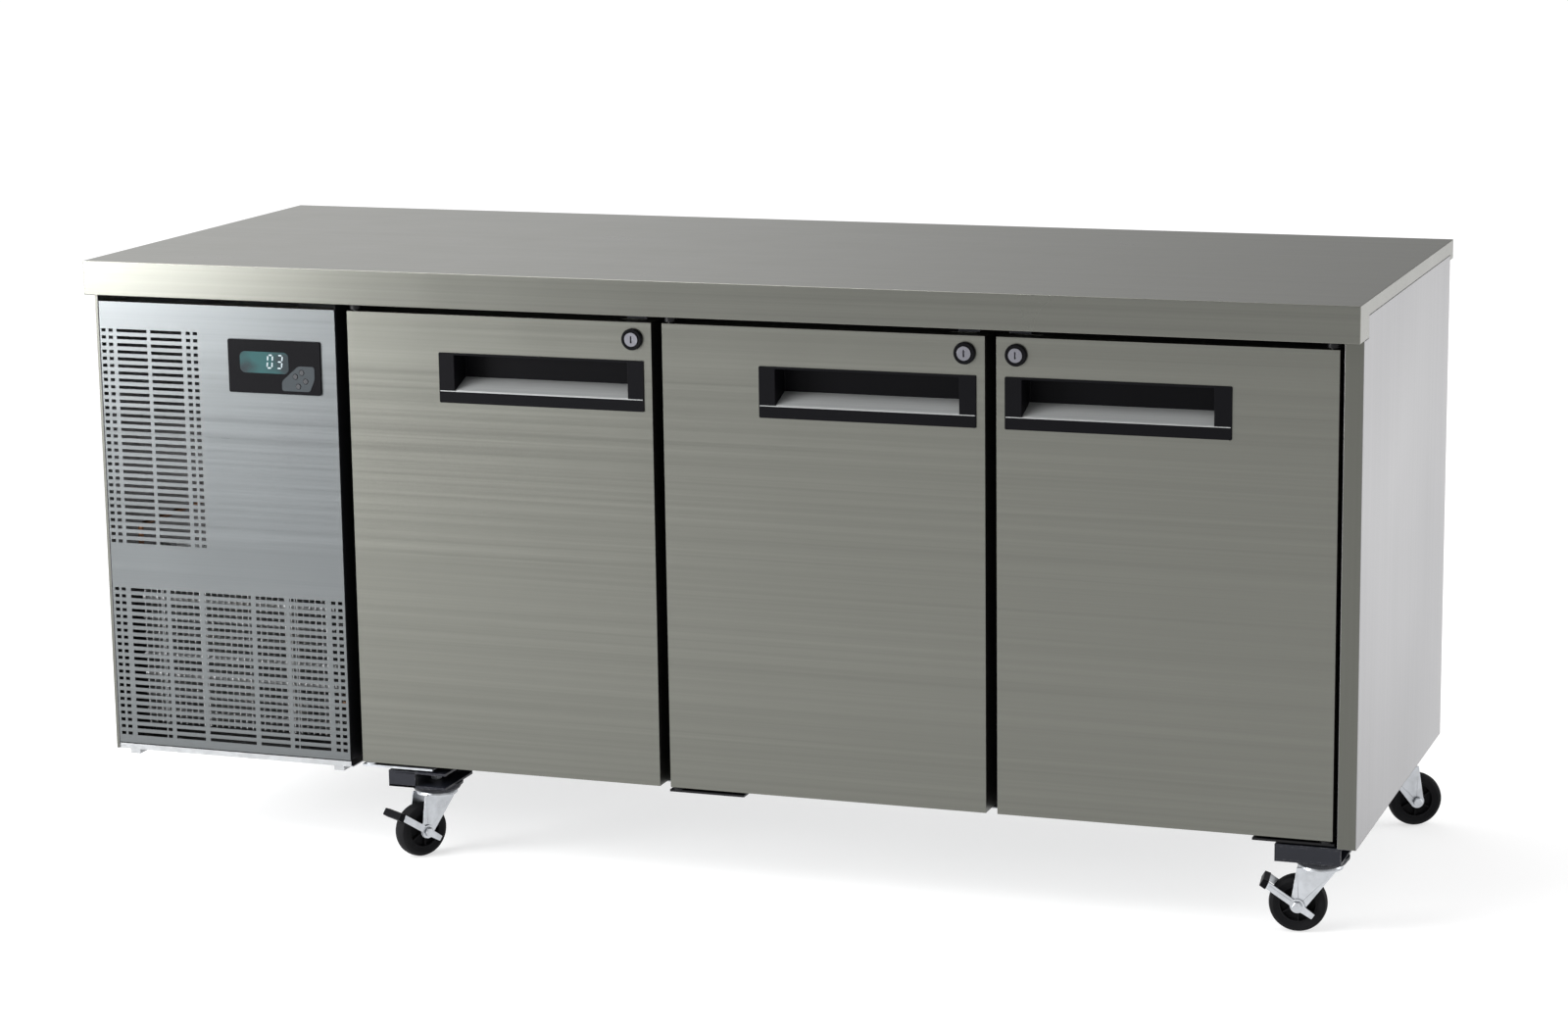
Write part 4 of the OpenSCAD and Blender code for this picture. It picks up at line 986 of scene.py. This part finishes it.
def studio_world():
    """Soft light from all round, brightest overhead and at the left."""
    world = bpy.data.worlds.new("studio")
    bpy.context.scene.world = world
    world.use_nodes = True
    tree = world.node_tree
    direction = tree.nodes.new("ShaderNodeTexCoord").outputs["Generated"]
    split = tree.nodes.new("ShaderNodeSeparateXYZ")
    tree.links.new(direction, split.inputs["Vector"])
    height = level_curve(tree, split.outputs["Z"], [(0.0, 0.40), (0.75, 1.15)])
    sides = [(-0.75, 1.9), (-0.45, 1.5), (-0.15, 0.70), (0.15, 0.5), (0.8, 0.9)]
    across = level_curve(tree, split.outputs["X"], sides)
    product = tree.nodes.new("ShaderNodeMath")
    product.operation = "MULTIPLY"
    tree.links.new(height, product.inputs[0])
    tree.links.new(across, product.inputs[1])
    tree.links.new(product.outputs[0], tree.nodes["Background"].inputs["Strength"])
    tree.nodes["Background"].inputs["Color"].default_value = (1, 1, 1, 1)


def level_curve(tree, value, stops):
    """Light level along one direction of the sky, from (direction, level) stops."""
    curve = tree.nodes.new("ShaderNodeFloatCurve")
    points = curve.mapping.curves[0].points
    top = 2.0
    spots = [((stop + 1) / 2, level / top) for stop, level in stops]
    points[0].location = (0, spots[0][1])
    points[1].location = (1, spots[-1][1])
    for spot in spots:
        points.new(*spot)
    curve.mapping.update()
    shift = tree.nodes.new("ShaderNodeMapRange")
    shift.inputs["From Min"].default_value = -1
    tree.links.new(value, shift.inputs["Value"])
    tree.links.new(shift.outputs["Result"], curve.inputs["Value"])
    scale = tree.nodes.new("ShaderNodeMath")
    scale.operation = "MULTIPLY"
    scale.inputs[1].default_value = top
    tree.links.new(curve.outputs["Value"], scale.inputs[0])
    return scale.outputs[0]


def softbox(name, at, toward, size, power):
    data = bpy.data.lights.new(name, "AREA")
    data.shape = "RECTANGLE"
    data.size, data.size_y = size
    data.energy = power
    lamp = bpy.data.objects.new(name, data)
    lamp.location = at
    lamp.rotation_mode = "QUATERNION"
    lamp.rotation_quaternion = (Vector(toward) - Vector(at)).to_track_quat("-Z", "Y")
    bpy.context.scene.collection.objects.link(lamp)


def studio_lights():
    middle_of_object = (CAD_BOX[0] + CAD_BOX[1]) / 2
    softbox("key", (-2.5, -3.0, 4.2), middle_of_object, (3.5, 2.5), 170)
    softbox("left", (-2.4, -2.1, 0.95), (-0.9, -0.35, 0.75), (1.3, 0.8), 68)
    softbox("side", (5.5, 2.5, 2.2), middle_of_object, (3.0, 3.0), 130)


def studio_floor_plane():
    bm = bmesh.new()
    bmesh.ops.create_grid(bm, x_segments=1, y_segments=1, size=60)
    mesh = bpy.data.meshes.new("floor")
    bm.to_mesh(mesh)
    bm.free()
    mesh.materials.append(studio_floor("studio_floor"))
    floor = bpy.data.objects.new("floor", mesh)
    bpy.context.scene.collection.objects.link(floor)


# ---- build -----------------------------------------------------------------


def build():
    dress_nodes()
    round_folds()
    machine_jamb()
    back_screws()
    evaporator_guard()
    gland_nut()
    display_digits()
    key_field()
    for door in DOORS:
        door_gasket(door)
        recess_sheet_with_painted_light(door)
        lock_face(door)
    casters = {number: Caster(number) for number in CASTERS}
    caster_brackets(casters)
    for number, caster in casters.items():
        caster_wheel(number, caster)
        caster_fork(number, caster)
        if number in BRAKED:
            caster_brake(number, caster)
    studio_world()
    studio_lights()
    studio_floor_plane()
    camera()
    bpy.context.scene.view_settings.view_transform = "Standard"


build()
